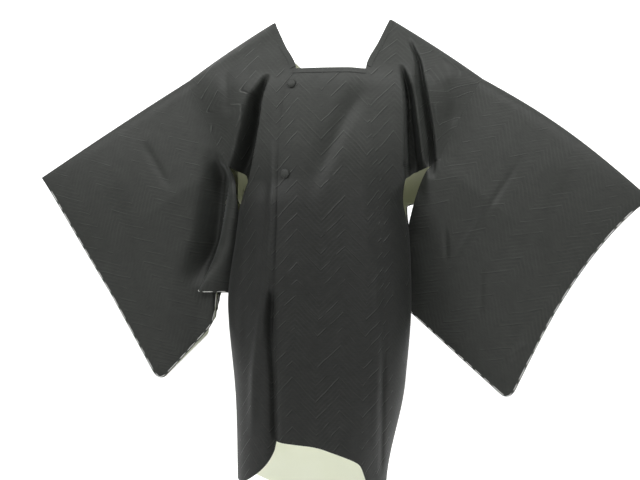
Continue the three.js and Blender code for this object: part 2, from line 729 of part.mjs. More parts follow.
// The closed wall of two layers with the same grid. They are joined in the first and last rows, and in
// the last column from the row `openRow` on. Both are sewn to the body along the first column.
function pouchGeometry(front, back, openRow, seamWay) {
  const mesh = new ClosedMesh();
  const [rows, columns] = [front.length - 1, front[0].length - 1];
  const joined = (j, i) => j === 0 || j === rows || (i === columns && j >= openRow);
  const outwards = (grid, sign) => {
    const normals = gridNormals(grid);
    const middle = normals[Math.floor(rows / 4)][Math.floor(columns / 2)];
    const flip = Math.sign(middle.y) === sign ? 1 : -1;
    return normals.map((row, j) =>
      row.map((normal, i) => {
        normal.multiplyScalar(flip);
        return i === 0 && j <= ARMHOLE_ROWS ? flatten(normal, seamWay) : normal;
      }),
    );
  };
  // Along a joined edge the inner surface ends a wall's thickness short of the outer one.
  const insetPoint = (grid, j, i) => {
    const towards = grid[Math.min(Math.max(j, 1), rows - 1)][i === columns && j >= openRow ? i - 1 : i];
    const distance = grid[j][i].distanceTo(towards);
    const share = distance > 0 ? Math.min(0.5, WALL / distance) : 0;
    return grid[j][i].clone().lerp(towards, share);
  };
  const layers = (grid, sign) => {
    const normals = outwards(grid, sign);
    const outer = grid.map((row, j) => row.map((point, i) => add(point, normals[j][i], WALL / 2)));
    const inner = grid.map((row, j) =>
      row.map((point, i) => add(joined(j, i) ? insetPoint(grid, j, i) : point, normals[j][i], -WALL / 2)),
    );
    return { outer: mesh.layer(outer), inner: mesh.layer(inner) };
  };
  const f = layers(front, -1);
  const b = layers(back, 1);
  mesh.sheet(f.outer, false);
  mesh.sheet(f.inner, true);
  mesh.sheet(b.outer, true);
  mesh.sheet(b.inner, false);
  for (let i = 0; i < columns; i += 1) {
    for (const [j, sign] of [[0, 1], [rows, -1]]) {
      const [start, end] = sign > 0 ? [i, i + 1] : [i + 1, i];
      mesh.quad(f.outer[j][start], f.outer[j][end], b.outer[j][end], b.outer[j][start]);
      mesh.quad(f.inner[j][end], f.inner[j][start], b.inner[j][start], b.inner[j][end]);
    }
  }
  for (let j = 0; j < rows; j += 1) {
    mesh.quad(f.outer[j + 1][0], f.outer[j][0], f.inner[j][0], f.inner[j + 1][0]);
    mesh.quad(b.outer[j][0], b.outer[j + 1][0], b.inner[j + 1][0], b.inner[j][0]);
    if (j >= openRow) {
      mesh.quad(f.outer[j][columns], f.outer[j + 1][columns], b.outer[j + 1][columns], b.outer[j][columns]);
      mesh.quad(f.inner[j + 1][columns], f.inner[j][columns], b.inner[j][columns], b.inner[j + 1][columns]);
    } else {
      mesh.quad(f.outer[j][columns], f.outer[j + 1][columns], f.inner[j + 1][columns], f.inner[j][columns]);
      mesh.quad(b.outer[j + 1][columns], b.outer[j][columns], b.inner[j][columns], b.inner[j + 1][columns]);
    }
  }
  // The ends of the joined stretches, where an open edge starts.
  mesh.quad(f.outer[0][0], b.outer[0][0], b.inner[0][0], f.inner[0][0]);
  mesh.quad(f.inner[rows][0], b.inner[rows][0], b.outer[rows][0], f.outer[rows][0]);
  mesh.quad(f.inner[0][columns], b.inner[0][columns], b.outer[0][columns], f.outer[0][columns]);
  const [fo, fi] = [f.outer[openRow][columns], f.inner[openRow][columns]];
  const [bo, bi] = [b.outer[openRow][columns], b.inner[openRow][columns]];
  mesh.quad(fo, bo, bi, fi);
  return mesh.geometry();
}

// ---------- buttons ----------

const BUTTONS = [
  { name: 'button_upper', fromEdge: 9, height: -146 },
  { name: 'button_lower', fromEdge: 16, height: -322 },
];

// Half the section of a covered button, as shares of its radius and height.
const BUTTON_PROFILE = [
  { out: 0, up: 0 },
  { out: 0.62, up: 0 },
  { out: 0.9, up: 0.1 },
  { out: 1, up: 0.32 },
  { out: 0.96, up: 0.55 },
  { out: 0.8, up: 0.8 },
  { out: 0.5, up: 0.96 },
  { out: 0, up: 1 },
];
const BUTTON_SIDES = 20;

// A covered button: a domed disc with a rounded rim.
function buttonMesh({ fromEdge, height, name }) {
  const points = BUTTON_PROFILE.map(
    ({ out, up }) => new THREE.Vector2(out * BUTTON_RADIUS, up * BUTTON_HEIGHT),
  );
  const geometry = new THREE.LatheGeometry(points, BUTTON_SIDES);
  geometry.rotateX(Math.PI / 2);
  const x = flapEdgeX(height) + fromEdge;
  const normal = frontNormal(x, height);
  const seat = bodyPoint(RIGHT, x, height, 'front').addScaledVector(normal, LAYER + WALL / 2 + SEAM);
  const mesh = cloth(name, geometry);
  mesh.position.copy(seat);
  mesh.quaternion.setFromUnitVectors(new THREE.Vector3(0, 0, 1), normal);
  return mesh;
}

// ---------- the coat ----------

function cloth(name, geometry, colour = CLOTH_COLOUR) {
  const material = new THREE.MeshStandardMaterial({ color: colour, roughness: 0.75, metalness: 0 });
  const mesh = new THREE.Mesh(geometry, material);
  mesh.name = name;
  return mesh;
}

const coat = new THREE.Group();
const sides = [LEFT, RIGHT];
const bodies = sides.map(bodyPanel);
const overlaps = sides.map(overlapPanel);
for (const [k, side] of sides.entries()) {
  coat.add(cloth(`body_${side.name}`, wallGeometry(bodies[k].grid, bodies[k].normals, WALL)));
  coat.add(cloth(`overlap_${side.name}`, wallGeometry(overlaps[k].grid, overlaps[k].normals, WALL)));
  coat.add(cloth(`sleeve_${side.name}`, sleeveGeometry(side)));
  coat.add(cloth(`collar_${side.name}`, collarSideGeometry(bodies[k])));
}
coat.add(cloth('collar_front', collarFrontGeometry(overlaps[0])));
coat.add(cloth('collar_back', collarBackGeometry(bodies)));
coat.add(cloth('lining_back', liningGeometry(bodies), LINING_COLOUR));
for (const button of BUTTONS) coat.add(buttonMesh(button));

export default coat;
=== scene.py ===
"""A michiyuki coat: the square-necked outer coat worn over a kimono, filled out as worn.

Sizes are in millimetres up to the point where a mesh is made, which is in metres. +X is the wearer's
left, -Y the front, +Z up, and the origin is midway between the shoulder points of the neck.
"""
import math

import bpy
import numpy as np
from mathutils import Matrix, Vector


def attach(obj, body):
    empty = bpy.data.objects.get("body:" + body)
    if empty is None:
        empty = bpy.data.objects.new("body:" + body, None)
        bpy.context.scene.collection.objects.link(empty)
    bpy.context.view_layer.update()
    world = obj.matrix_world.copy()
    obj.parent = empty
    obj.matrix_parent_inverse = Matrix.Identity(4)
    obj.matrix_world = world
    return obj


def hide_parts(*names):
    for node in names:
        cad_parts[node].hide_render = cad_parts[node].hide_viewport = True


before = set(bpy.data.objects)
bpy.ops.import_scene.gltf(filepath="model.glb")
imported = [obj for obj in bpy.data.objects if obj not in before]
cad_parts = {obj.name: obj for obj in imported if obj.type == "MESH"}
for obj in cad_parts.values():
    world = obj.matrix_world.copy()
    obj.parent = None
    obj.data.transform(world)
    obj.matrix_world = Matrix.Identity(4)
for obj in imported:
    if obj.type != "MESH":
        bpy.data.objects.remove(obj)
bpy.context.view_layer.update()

MM = 0.001

# ---------- camera ----------

IMAGE_WIDTH = 640
FOCAL_PIXELS = 1060.0
VIEW_TURN = math.radians(8.0)  # the camera stands a little towards the wearer's left
VIEW_DISTANCE = 2.2
AIM = Vector((-0.0262, 0.0, -0.4526))

forward = Vector((-math.sin(VIEW_TURN), math.cos(VIEW_TURN), 0.0))
camera_data = bpy.data.cameras.new("camera")
camera_data.sensor_width = 36.0
camera_data.lens = FOCAL_PIXELS / IMAGE_WIDTH * camera_data.sensor_width
camera = bpy.data.objects.new("camera", camera_data)
bpy.context.scene.collection.objects.link(camera)
camera.location = AIM - forward * VIEW_DISTANCE
camera.rotation_mode = "QUATERNION"
camera.rotation_quaternion = forward.to_track_quat("-Z", "Y")
bpy.context.scene.camera = camera

# ---------- driving sizes ----------

# They are the solids' own, but for the seams, the clearances and the collar's wall, which are smaller here.
WALL = 2.0
SEAM = -0.08  # sewn edges stand 0.3 apart in the solids; here they lap by a hair, so no light comes through
NECK_HALF = 120.0
NECK_FRONT_DEPTH = 117.0
NECK_BACK_DEPTH = 109.0
ARMHOLE_REACH = 306.0
ARMHOLE_END_REACH, ARMHOLE_END_HEIGHT = 220.5, -290.0
SIDE_SEAM_TOP = -384.0
COLLAR_WIDTH = 11.0
COLLAR_WALL, COLLAR_CROWN = 0.8, 0.25
COLLAR_CORNER_SHARE = 0.3
BAND_CLEARANCE = 0.35
LAYER = 4.0
FLAP_EASE = 34.0
LINING_WALL = 1.0
BUTTON_RADIUS, BUTTON_HEIGHT = 9.0, 6.0
UNDER_EDGE_X = 38.0
INNER_ARM_END = -262.0
HEM_ROWS_TOP = -600.0
OVAL_START = -230.0

# A panel's rows are counted from the shoulder down. These are the rows at the neck's front corner, the
# nape, the armhole's end, the side seam's top and the hem.
NECK_ROWS, NAPE_ROWS, ARM_END, OPEN_END, ROWS = 5, 7, 10, 14, 23

OUTWARD = {"front": -1, "back": 1}  # which way along y is out of the coat

# Each side's own sizes. hand is its direction along x, drop is how far the shoulder falls to the armhole's
# top, and furi is the sleeve's open edge beside the body.
LEFT = {
    "name": "left", "hand": 1.0, "drop": 125.0, "arch": 0.8, "edge_shift": -9.0, "skirt_shift": -3.0,
    "cuff_top": (638, 0, -372), "cuff_bottom": (362, 20, -784), "furi_bottom": (120, 96, -574),
    "cuff_inset": 38, "cuff_gap": 11, "top_arch": 17, "furi_bulge": 21.0,
}
RIGHT = {
    "name": "right", "hand": -1.0, "drop": 118.0, "arch": 0.92, "edge_shift": 4.0, "skirt_shift": 5.0,
    "cuff_top": (631, 0, -319), "cuff_bottom": (374, 12, -757), "furi_bottom": (194, 60, -566),
    "cuff_inset": 7, "cuff_gap": 11, "top_arch": 2, "furi_bulge": 15.0,
}

# The body's sections: where its middle stands (lean), its front and back, and the overlaps' seams.
SECTION_COLUMNS = ("height", "lean", "front", "back", "left_seam", "right_seam")
SECTIONS = (
    (0, 0, -10, 10, 120, 120),
    (-56, 0, -72, 80, 100, 90),
    (-117, 0, -127, 120, 80, 58),
    (-240, -6, -138, 126, 92, 96),
    (-384, -18, -141, 118, 121, 100),
    (-550, -24, -143, 116, 138, 104),
    (-740, -23, -141, 120, 133, 132),
    (-945, -39, -128, 124, 134, 137),
    (-1025, -40, -124, 125, 134, 137),
)
# The open edges and the side seams below the armholes, as distances from the middle.
EDGE_COLUMNS = ("height", "reach", "y")
SIDE_SEAM = ((-384, 172, 0), (-440, 179, 0), (-575, 189, 0), (-740, 176, 0), (-945, 153, 0), (-1025, 151, 0))
FRONT_EDGE = ((-290, 220.5, -20), (-305, 204, -32), (-318, 176, -42), (-335, 168, -34)) + SIDE_SEAM
BACK_EDGE = ((-290, 220.5, 45), (-302, 214, 45), (-345, 203, 46), (-374, 190, 38)) + SIDE_SEAM
SKIRT_SHIFTED = (-450, -600)  # between these heights a side's skirt_shift comes in
EDGE_SHIFT_FULL, EDGE_SHIFT_FADE = -325, (-450, -360)
# The left overlap's free edge, as (height, x).
FLAP_EDGE = ((-117, -58), (-150, -74), (-205, -83), (-296, -90), (-570, -95), (-726, -101), (-860, -97))
HEM = {"crown_height": -849, "side_height": -945}
# The front hem, as (x, height).
HEM_ARCH = (
    (-98, -849), (-75, -851), (-47, -853), (-25, -855), (-7, -859), (11, -866),
    (38, -878), (56, -888), (66, -898), (74, -922), (80, -940), (98, -945),
)
HEM_STEP = {"x": -98, "span": 78, "power": 0.5}
BACK_HEM = {"middle_height": -1012, "side_height": -948, "half_width": 145}
ARMHOLE_SHARE, OPEN_SHARE = 0.4, 0.55  # of a sleeve's length down: the armhole's end, the cuff opening's end
EDGE_GAP, ARMHOLE_GAP, CORNER_RADIUS, INSET_SKEW = 2.5, 0.15, 30, 0.68
# The pleat of the right sleeve's hanging end. p is the share of its width, out from the body.
PLEAT_COLUMNS = ("p", "out", "depth", "rise", "back_out")
PLEAT = (
    (0, 0, 0, 0, 0),
    (0.12, 20, -32, 25, 22),
    (0.24, 46, -46, 48, 30),
    (0.29, 39, -38, 60, 26),
    (0.385, -10, -18, 77, 12),
    (0.43, -12, -11, 24, 4),
    (0.6, 0, 0, 5, 0),
    (1, 0, 0, 0, 0),
)
# How far the pleat lifts the back layer, as (p, rise).
BACK_RISE = ((0, 0), (0.12, 25), (0.185, 38), (0.215, -16), (0.4, -8), (0.6, -2), (1, 0))
PLEAT_GROWTH = 1.1
SLEEVE_ROOM = 12.0

# ---------- curves through the tables ----------


def through(x, y):
    """A smooth curve through these points that never overshoots them (monotone cubic)."""
    x, y = np.array(x, float), np.array(y, float)
    if x[0] > x[-1]:
        x, y = x[::-1], y[::-1]
    slope = np.diff(y) / np.diff(x)
    tangent = np.empty_like(y)
    tangent[0], tangent[-1] = slope[0], slope[-1]
    before, after = slope[:-1], slope[1:]
    total = np.where(before + after == 0, 1, before + after)
    tangent[1:-1] = np.where(before * after > 0, 2 * before * after / total, 0)

    def curve(value):
        value = np.clip(value, x[0], x[-1])
        k = np.clip(np.searchsorted(x, value) - 1, 0, len(x) - 2)
        span = x[k + 1] - x[k]
        t = (value - x[k]) / span
        t2, t3 = t * t, t * t * t
        return (
            (2 * t3 - 3 * t2 + 1) * y[k]
            + (t3 - 2 * t2 + t) * span * tangent[k]
            + (3 * t2 - 2 * t3) * y[k + 1]
            + (t3 - t2) * span * tangent[k + 1]
        )

    return curve


def lerp(a, b, share):
    return a + (b - a) * share


def unit(vectors):
    return vectors / np.maximum(np.linalg.norm(vectors, axis=-1, keepdims=True), 1e-9)


def smooth(start, end, value):
    t = np.clip((np.asarray(value, float) - start) / (end - start), 0, 1)
    return t * t * (3 - 2 * t)


def curves(names, rows):
    """A curve over a table's first column for each of its other columns."""
    at, *others = zip(*rows)
    return {name: through(at, values) for name, values in zip(names[1:], others)}


section = curves(SECTION_COLUMNS, SECTIONS)
side_edge = {"front": curves(EDGE_COLUMNS, FRONT_EDGE), "back": curves(EDGE_COLUMNS, BACK_EDGE)}
pleat = curves(PLEAT_COLUMNS, PLEAT)
back_rise, flap_edge_x, hem_arch = (through(*zip(*rows)) for rows in (BACK_RISE, FLAP_EDGE, HEM_ARCH))

# ---------- the body surface ----------


def lean_at(height):
    """How far to the side the coat's middle stands."""
    return section["lean"](height) * smooth(ARMHOLE_END_HEIGHT, SIDE_SEAM_TOP, height)


def down_armhole(side, height):
    """The share of the armhole above a height."""
    return (-height - side["drop"]) / (-ARMHOLE_END_HEIGHT - side["drop"])


def reach(side, height, face):
    """How far from the middle the shoulder, the armhole, the open edge or the side seam stands."""
    height = np.asarray(height, float)
    along_shoulder = lerp(NECK_HALF, ARMHOLE_REACH, (np.maximum(0, -height) / side["drop"]) ** side["arch"])
    along_armhole = lerp(ARMHOLE_REACH, ARMHOLE_END_REACH, down_armhole(side, height))
    below = side_edge[face]["reach"](height) + side["skirt_shift"] * smooth(*SKIRT_SHIFTED, height)
    if face == "front":
        shift = side["edge_shift"] * smooth(ARMHOLE_END_HEIGHT, EDGE_SHIFT_FULL, height)
        below = below + shift * smooth(*EDGE_SHIFT_FADE, height)
    return np.where(
        height > -side["drop"], along_shoulder, np.where(height > ARMHOLE_END_HEIGHT, along_armhole, below)
    )


def edge_y(side, height, face):
    """How far forward or back that outer edge stands."""
    height = np.asarray(height, float)
    share = np.clip(down_armhole(side, height), 0, 1)
    armhole = side_edge[face]["y"](ARMHOLE_END_HEIGHT) * np.sqrt(share)
    below = side_edge[face]["y"](height)
    return np.where(height > -side["drop"], 0.0, np.where(height < ARMHOLE_END_HEIGHT, below, armhole))


EDGE_HOLD, EDGE_HOLD_HEIGHT = 9, -335.0  # below the armhole the free edge bends only the cloth beside it


def tube_y(side, x, height, face):
    """The body's oval and, outside it, the armhole's own level."""
    middle = section[face](height)
    edge = edge_y(side, height, face)
    share = np.minimum(1, np.abs(x - lean_at(height)) / reach(side, height, face))
    power = lerp(1, 0.5, smooth(OVAL_START, SIDE_SEAM_TOP, height))
    oval = (1 - share * share) ** power
    near_edge = lerp(1 - oval, share ** EDGE_HOLD, smooth(ARMHOLE_END_HEIGHT, EDGE_HOLD_HEIGHT, height))
    return middle * oval + edge * near_edge


def top_line(side, away):
    """Height of the line along the shoulder and the sleeve's top fold, this far from the middle."""
    cuff_x, _, cuff_height = side["cuff_top"]
    on_shoulder = np.clip((away - NECK_HALF) / (ARMHOLE_REACH - NECK_HALF), 0, 1)
    run = np.clip((away - ARMHOLE_REACH) / (cuff_x - ARMHOLE_REACH), 0, 1)
    arch = side["top_arch"] * np.sin(np.pi * run)
    return -side["drop"] * on_shoulder ** (1 / side["arch"]) + run * (cuff_height + side["drop"]) + arch


# The shoulders, the armholes and the upper sleeves are one soft surface: the plain forms above, blurred.
FIELD_STEP, FIELD_BLUR = 4.0, 27.0
FIELD_HALF, FIELD_TOP, FIELD_BOTTOM = 700.0, 24.0, -480.0
FIELD_SLEEVE, FIELD_SLEEVE_START = 7.0, 50.0
TOP_FOLD_RUN = 30.0


def blurred(values, reach_cells):
    """A grid of values after a Gaussian blur."""
    span = int(3 * reach_cells)
    offsets = np.arange(-span, span + 1)
    weights = np.exp(-0.5 * (offsets / reach_cells) ** 2)
    weights /= weights.sum()
    for axis in (0, 1):
        padding = [(0, 0), (0, 0)]
        padding[axis] = (span, span)
        padded = np.pad(values, padding, mode="edge")
        count = values.shape[axis]
        values = sum(w * np.take(padded, np.arange(k, k + count), axis=axis) for k, w in enumerate(weights))
    return values


def make_field(face):
    x = np.arange(-FIELD_HALF, FIELD_HALF + FIELD_STEP, FIELD_STEP)[None, :]
    height = np.arange(FIELD_BOTTOM, FIELD_TOP + FIELD_STEP, FIELD_STEP)[:, None]
    values, inside = 0.0, 0.0
    for side in (LEFT, RIGHT):
        own = (x >= 0) if side is LEFT else (x < 0)
        past = np.abs(x) - reach(side, height, face)
        held = np.where(past > 0, np.maximum(height, ARMHOLE_END_HEIGHT), height)
        bulge = OUTWARD[face] * FIELD_SLEEVE * smooth(0, FIELD_SLEEVE_START, past)
        level = tube_y(side, x, held, face) + bulge
        values = values + np.where(own, level, 0.0)
        inside = inside + np.where(own, height < top_line(side, np.abs(x)), 0.0)
    cells = FIELD_BLUR / FIELD_STEP
    return blurred(values * inside, cells) / np.maximum(blurred(inside, cells), 1e-6)


FIELDS = {face: make_field(face) for face in ("front", "back")}


def field_y(face, x, height):
    """The blurred surface at any place, through its four nearest rows and columns (Catmull-Rom)."""
    x, height = np.broadcast_arrays(np.asarray(x, float), np.asarray(height, float))
    field = FIELDS[face]
    places = []
    for value, start, count in ((height, FIELD_BOTTOM, field.shape[0]), (x, -FIELD_HALF, field.shape[1])):
        at = np.clip((value - start) / FIELD_STEP, 1, count - 2.001)
        k = np.floor(at).astype(int)
        t = at - k
        weights = (
            0.5 * (-t + 2 * t**2 - t**3),
            0.5 * (2 - 5 * t**2 + 3 * t**3),
            0.5 * (t + 4 * t**2 - 3 * t**3),
            0.5 * (t**3 - t**2),
        )
        places.append((k, weights))
    (row, row_weights), (column, column_weights) = places
    total = 0.0
    for i in range(4):
        for j in range(4):
            total = total + row_weights[i] * column_weights[j] * field[row + i - 1, column + j - 1]
    side_top = np.where(x >= 0, top_line(LEFT, np.abs(x)), top_line(RIGHT, np.abs(x)))
    turn = np.clip((side_top - height) / TOP_FOLD_RUN, 0, 1)
    return total * np.sqrt(np.maximum(0, 1 - (1 - turn) ** 2))


# Deep folds between the chest and the arms. Each row gives, at a height, how far from the middle the
# fold's crisp edge stands, how deep the fold is there, and over what width it is flat and then rises
# again. towards is 1 where it lies outside its crisp edge and -1 where it lies inside it.
VALLEY_COLUMNS = ("height", "away", "depth", "floor", "rise")
VALLEYS = (
    {"hand": -1, "towards": 1, "crisp": 8, "rows": (
        (-122, 108, 0, 2, 10),
        (-142, 116, 24, 3, 15),
        (-168, 125, 52, 7, 26),
        (-222, 134, 70, 11, 32),
        (-270, 145, 74, 14, 34),
        (-318, 158, 66, 18, 38),
        (-352, 166, 30, 16, 38),
        (-390, 172, 0, 16, 38),
    )},
    {"hand": 1, "towards": 1, "crisp": 6, "rows": (
        (-104, 140, 0, 2, 8),
        (-127, 145, 20, 3, 10),
        (-158, 150, 46, 5, 13),
        (-198, 152, 60, 6, 16),
        (-235, 152, 64, 9, 18),
        (-283, 152, 66, 13, 20),
        (-318, 153, 52, 16, 26),
        (-352, 157, 24, 14, 26),
        (-390, 162, 0, 14, 26),
    )},
    {"hand": 1, "towards": -1, "crisp": 5, "rows": (
        (-44, 166, 0, 2, 6),
        (-64, 174, 10, 2, 8),
        (-97, 188, 20, 3, 12),
        (-139, 196, 26, 3, 20),
        (-184, 204, 31, 3, 24),
        (-244, 213, 33, 4, 26),
        (-288, 216, 28, 6, 28),
        (-330, 214, 0, 8, 22),
    )},
)
for valley in VALLEYS:
    valley["at"] = curves(VALLEY_COLUMNS, valley["rows"])


def valley_depth(x, height):
    """How far the deep folds sink the front at a place."""
    depth = np.zeros(np.broadcast(x, height).shape)
    for valley in VALLEYS:
        at, crisp = valley["at"], valley["crisp"]
        past = valley["towards"] * (valley["hand"] * x - at["away"](height))
        floor, rise = at["floor"](height), at["rise"](height)
        shape = smooth(0, crisp, past) * (1 - smooth(0, 1, (past - crisp - floor) / rise))
        depth = depth + at["depth"](height) * shape
    return depth


FIELD_FADE_START, FIELD_FADE_END = -300.0, -384.0


def body_y(side, x, height, face):
    part = smooth(FIELD_FADE_END, FIELD_FADE_START, height)
    y = lerp(tube_y(side, x, height, face), field_y(face, x, height), part)
    return y + (valley_depth(x, height) if face == "front" else 0.0)


def seam_x(side, height):
    """Where the front overlap is sewn on."""
    return lean_at(height) + side["hand"] * section[f"{side['name']}_seam"](height)


def front_hem(x):
    past = np.clip((HEM_STEP["x"] - x) / HEM_STEP["span"], 0, 1)
    step = lerp(HEM["crown_height"], HEM["side_height"], past ** HEM_STEP["power"])
    return np.where(x < HEM_STEP["x"], step, hem_arch(x))


def back_hem(x):
    share = np.clip(np.abs(x - lean_at(BACK_HEM["middle_height"])) / BACK_HEM["half_width"], 0, 1)
    return lerp(BACK_HEM["middle_height"], BACK_HEM["side_height"], share * share)


def towards_hem(hem_at, x, level):
    """The skirt's level rows, stretched to the hem's own line."""
    share = (level - HEM_ROWS_TOP) / (HEM["side_height"] - HEM_ROWS_TOP)
    return np.where(level > HEM_ROWS_TOP, level, lerp(HEM_ROWS_TOP, hem_at(x), share))


def stations(*stops):
    """A piecewise straight curve over the panel's rows: pairs of (row, height)."""
    rows, heights = zip(*stops)
    return lambda row: np.interp(row, rows, heights)


def outer_height(side):
    return stations(
        (0, -side["drop"]),
        (ARM_END, ARMHOLE_END_HEIGHT),
        (OPEN_END, SIDE_SEAM_TOP),
        (ROWS, HEM["side_height"]),
    )


front_inner_height = stations(
    (0, 0),
    (NECK_ROWS, -NECK_FRONT_DEPTH),
    (ARM_END, INNER_ARM_END),
    (OPEN_END, SIDE_SEAM_TOP),
    (ROWS, HEM["side_height"]),
)


def front_place(side, row, share):
    """x and height of a place on a front panel: row from the shoulder down, share from its inner end."""
    inner, outer = front_inner_height(row), outer_height(side)(row)
    inner_x = np.where(row == 0, side["hand"] * NECK_HALF, seam_x(side, inner) + side["hand"] * SEAM / 2)
    outer_x = lean_at(outer) + side["hand"] * reach(side, outer, "front")
    x = lerp(inner_x, outer_x, share)
    return x, towards_hem(front_hem, x, lerp(inner, outer, share))


def back_place(side, row, share):
    """The same for a back panel, whose inner end runs round the nape and then down the spine."""
    outer = outer_height(side)(row)
    turn = np.minimum(1, row / NAPE_ROWS) * 0.5 * np.pi
    down = np.maximum(0, row - NAPE_ROWS) / (OPEN_END - NAPE_ROWS)
    seam_height = lerp(-NECK_BACK_DEPTH, SIDE_SEAM_TOP, np.minimum(1, down))
    inner = np.where(row <= NAPE_ROWS, -NECK_BACK_DEPTH * np.sin(turn), seam_height)
    inner = np.where(outer < SIDE_SEAM_TOP, outer, inner)
    middle = lean_at(inner) + side["hand"] * SEAM / 2
    inner_x = np.where(row < NAPE_ROWS, side["hand"] * NECK_HALF * np.cos(turn), middle)
    outer_x = lean_at(outer) + side["hand"] * reach(side, outer, "back")
    x = lerp(inner_x, outer_x, share)
    return x, towards_hem(back_hem, x, lerp(inner, outer, share))


# ---------- creases ----------

# Soft creases of the cloth beyond the large folds. Each runs through (x, height) points. depth is how
# far the cloth sinks (a negative one is a ridge), half_width how wide the crease is, and the tapers are
# the shares of its length over which it comes in and fades out, TAPER where a row leaves them out.
TAPER = 0.3
CREASE_COLUMNS = ("depth", "half_width", "points", "start_taper", "end_taper")
LENS_LINE = ((-228, -262), (-233, -316), (-241, -368), (-258, -455), (-284, -512), (-303, -560))
OVERLAP_RIDGE = ((-104, -250), (-105, -425), (-114, -540), (-130, -630), (-142, -709), (-152, -860))
CREASES = {
    "front": (
        (13, 19, ((78, -140), (71, -152), (42, -210), (12, -268), (-11, -326), (-30, -390)), 0.25, 0.45),
        (-9, 10, OVERLAP_RIDGE, 0.15, 0.2),
        (17, 11, ((-104, -536), (-106, -610), (-106, -659), (-101, -728), (-99, -900)), 0.12, 0.2),
        (8, 5, ((118, -560), (115, -650), (111, -744), (109, -802), (103, -930)), 0.5, 0.1),
        (-7, 12, ((98, -480), (100, -569), (102, -685), (98, -801), (95, -900)), 0.3, 0.2),
        (4, 24, ((-40, -520), (-46, -640), (-44, -790))),
        (5, 20, ((38, -600), (34, -720), (40, -880))),
        (5, 12, ((-150, -420), (-158, -560), (-170, -700))),
        (5, 13, ((-215, -95), (-208, -150), (-206, -205))),
        (4, 14, ((240, -120), (250, -170), (248, -230))),
    ),
    "back": (
        (10, 22, ((-60, -150), (-112, -215), (-150, -290))),
        (12, 20, ((66, -160), (118, -220), (158, -300))),
        (6, 18, ((-22, -330), (-30, -480), (-26, -640))),
        (8, 22, ((34, -420), (44, -600), (40, -830))),
        (9, 20, ((-78, -560), (-84, -720), (-80, -930))),
        (7, 14, ((96, -620), (104, -760), (100, -940))),
        (-4, 10, ((-128, -640), (-134, -800), (-130, -930))),
    ),
    "sleeve_left": (
        (4, 6, ((394, -273), (342, -353), (292, -428), (248, -487)), 0.4, 0.15),
        (3, 5, ((232, -420), (236, -500))),
        (1.6, 4, ((232, -495), (306, -495))),
        (2, 5, ((306, -495), (304, -620))),
        (5, 9, ((354, -702), (402, -661))),
        (5, 22, ((470, -300), (450, -420), (440, -560))),
        (-4, 18, ((370, -560), (400, -660), (430, -720))),
    ),
    "sleeve_right": (
        (4, 9, ((-402, -242), (-369, -296), (-336, -351))),
        (54, 25, LENS_LINE, 0.22, 0.3),
        (6, 24, ((-470, -330), (-440, -450), (-420, -600))),
        (-4, 20, ((-330, -480), (-350, -600), (-380, -700))),
    ),
}


def crease_depth(creases, x, height):
    """How far all these creases together sink the cloth at a place."""
    depth = np.zeros(np.broadcast(x, height).shape)
    for row in creases:
        crease = dict(zip(CREASE_COLUMNS, row))
        points = np.array(crease["points"], float)
        steps = np.diff(points, axis=0)
        lengths = np.hypot(*steps.T)
        before = np.concatenate([[0], np.cumsum(lengths)])
        nearest = np.full(depth.shape, np.inf)
        place = np.zeros(depth.shape)
        for k, (start, step, length) in enumerate(zip(points, steps, lengths)):
            along = ((x - start[0]) * step[0] + (height - start[1]) * step[1]) / length**2
            held = np.clip(along, 0, 1)
            away = np.hypot(x - start[0] - held * step[0], height - start[1] - held * step[1])
            closer = away < nearest
            nearest = np.where(closer, away, nearest)
            place = np.where(closer, before[k] + held * length, place)
        run = place / before[-1]
        come_in, fade_out = crease.get("start_taper", TAPER), crease.get("end_taper", TAPER)
        taper = smooth(-0.02, come_in, run) * smooth(1.02, 1 - fade_out, run)
        depth += crease["depth"] * taper * np.exp(-((nearest / crease["half_width"]) ** 2))
    return depth


# ---------- meshes ----------


def grid_normals(grid):
    return unit(np.cross(np.gradient(grid, axis=0), np.gradient(grid, axis=1)))


def outward_normals(grid, row, column):
    """A grid's normals, turned so that the one at this place on the front looks forward."""
    normals = grid_normals(grid)
    return -normals if normals[row, column, 1] > 0 else normals


def grid_faces(rows, columns, first, flipped):
    """The faces of a grid of points."""
    index = first + np.arange(rows * columns).reshape(rows, columns)
    a, b, c, d = index[:-1, :-1], index[1:, :-1], index[1:, 1:], index[:-1, 1:]
    order = (a, d, c, b) if flipped else (a, b, c, d)
    return np.stack(order, axis=-1).reshape(-1, 4)


def rim_faces(rows, columns, first, second):
    """The faces between the borders of two grids."""
    one = first + np.arange(rows * columns).reshape(rows, columns)
    two = second + np.arange(rows * columns).reshape(rows, columns)
    faces = []
    for edge_one, edge_two, flip in (
        (one[0], two[0], False),
        (one[-1], two[-1], True),
        (one[:, 0], two[:, 0], True),
        (one[:, -1], two[:, -1], False),
    ):
        quads = (edge_one[:-1], edge_one[1:], edge_two[1:], edge_two[:-1])
        if flip:
            quads = quads[::-1]
        faces.append(np.stack(quads, axis=-1))
    return np.concatenate(faces)


def ring_faces(rings, around, first=0):
    """The faces between rings of points, each ring closed."""
    i, j = np.meshgrid(np.arange(rings - 1), np.arange(around), indexing="ij")
    k = (j + 1) % around
    one, two = first + i * around, first + (i + 1) * around
    return np.stack([one + j, one + k, two + k, two + j], axis=-1).reshape(-1, 4)


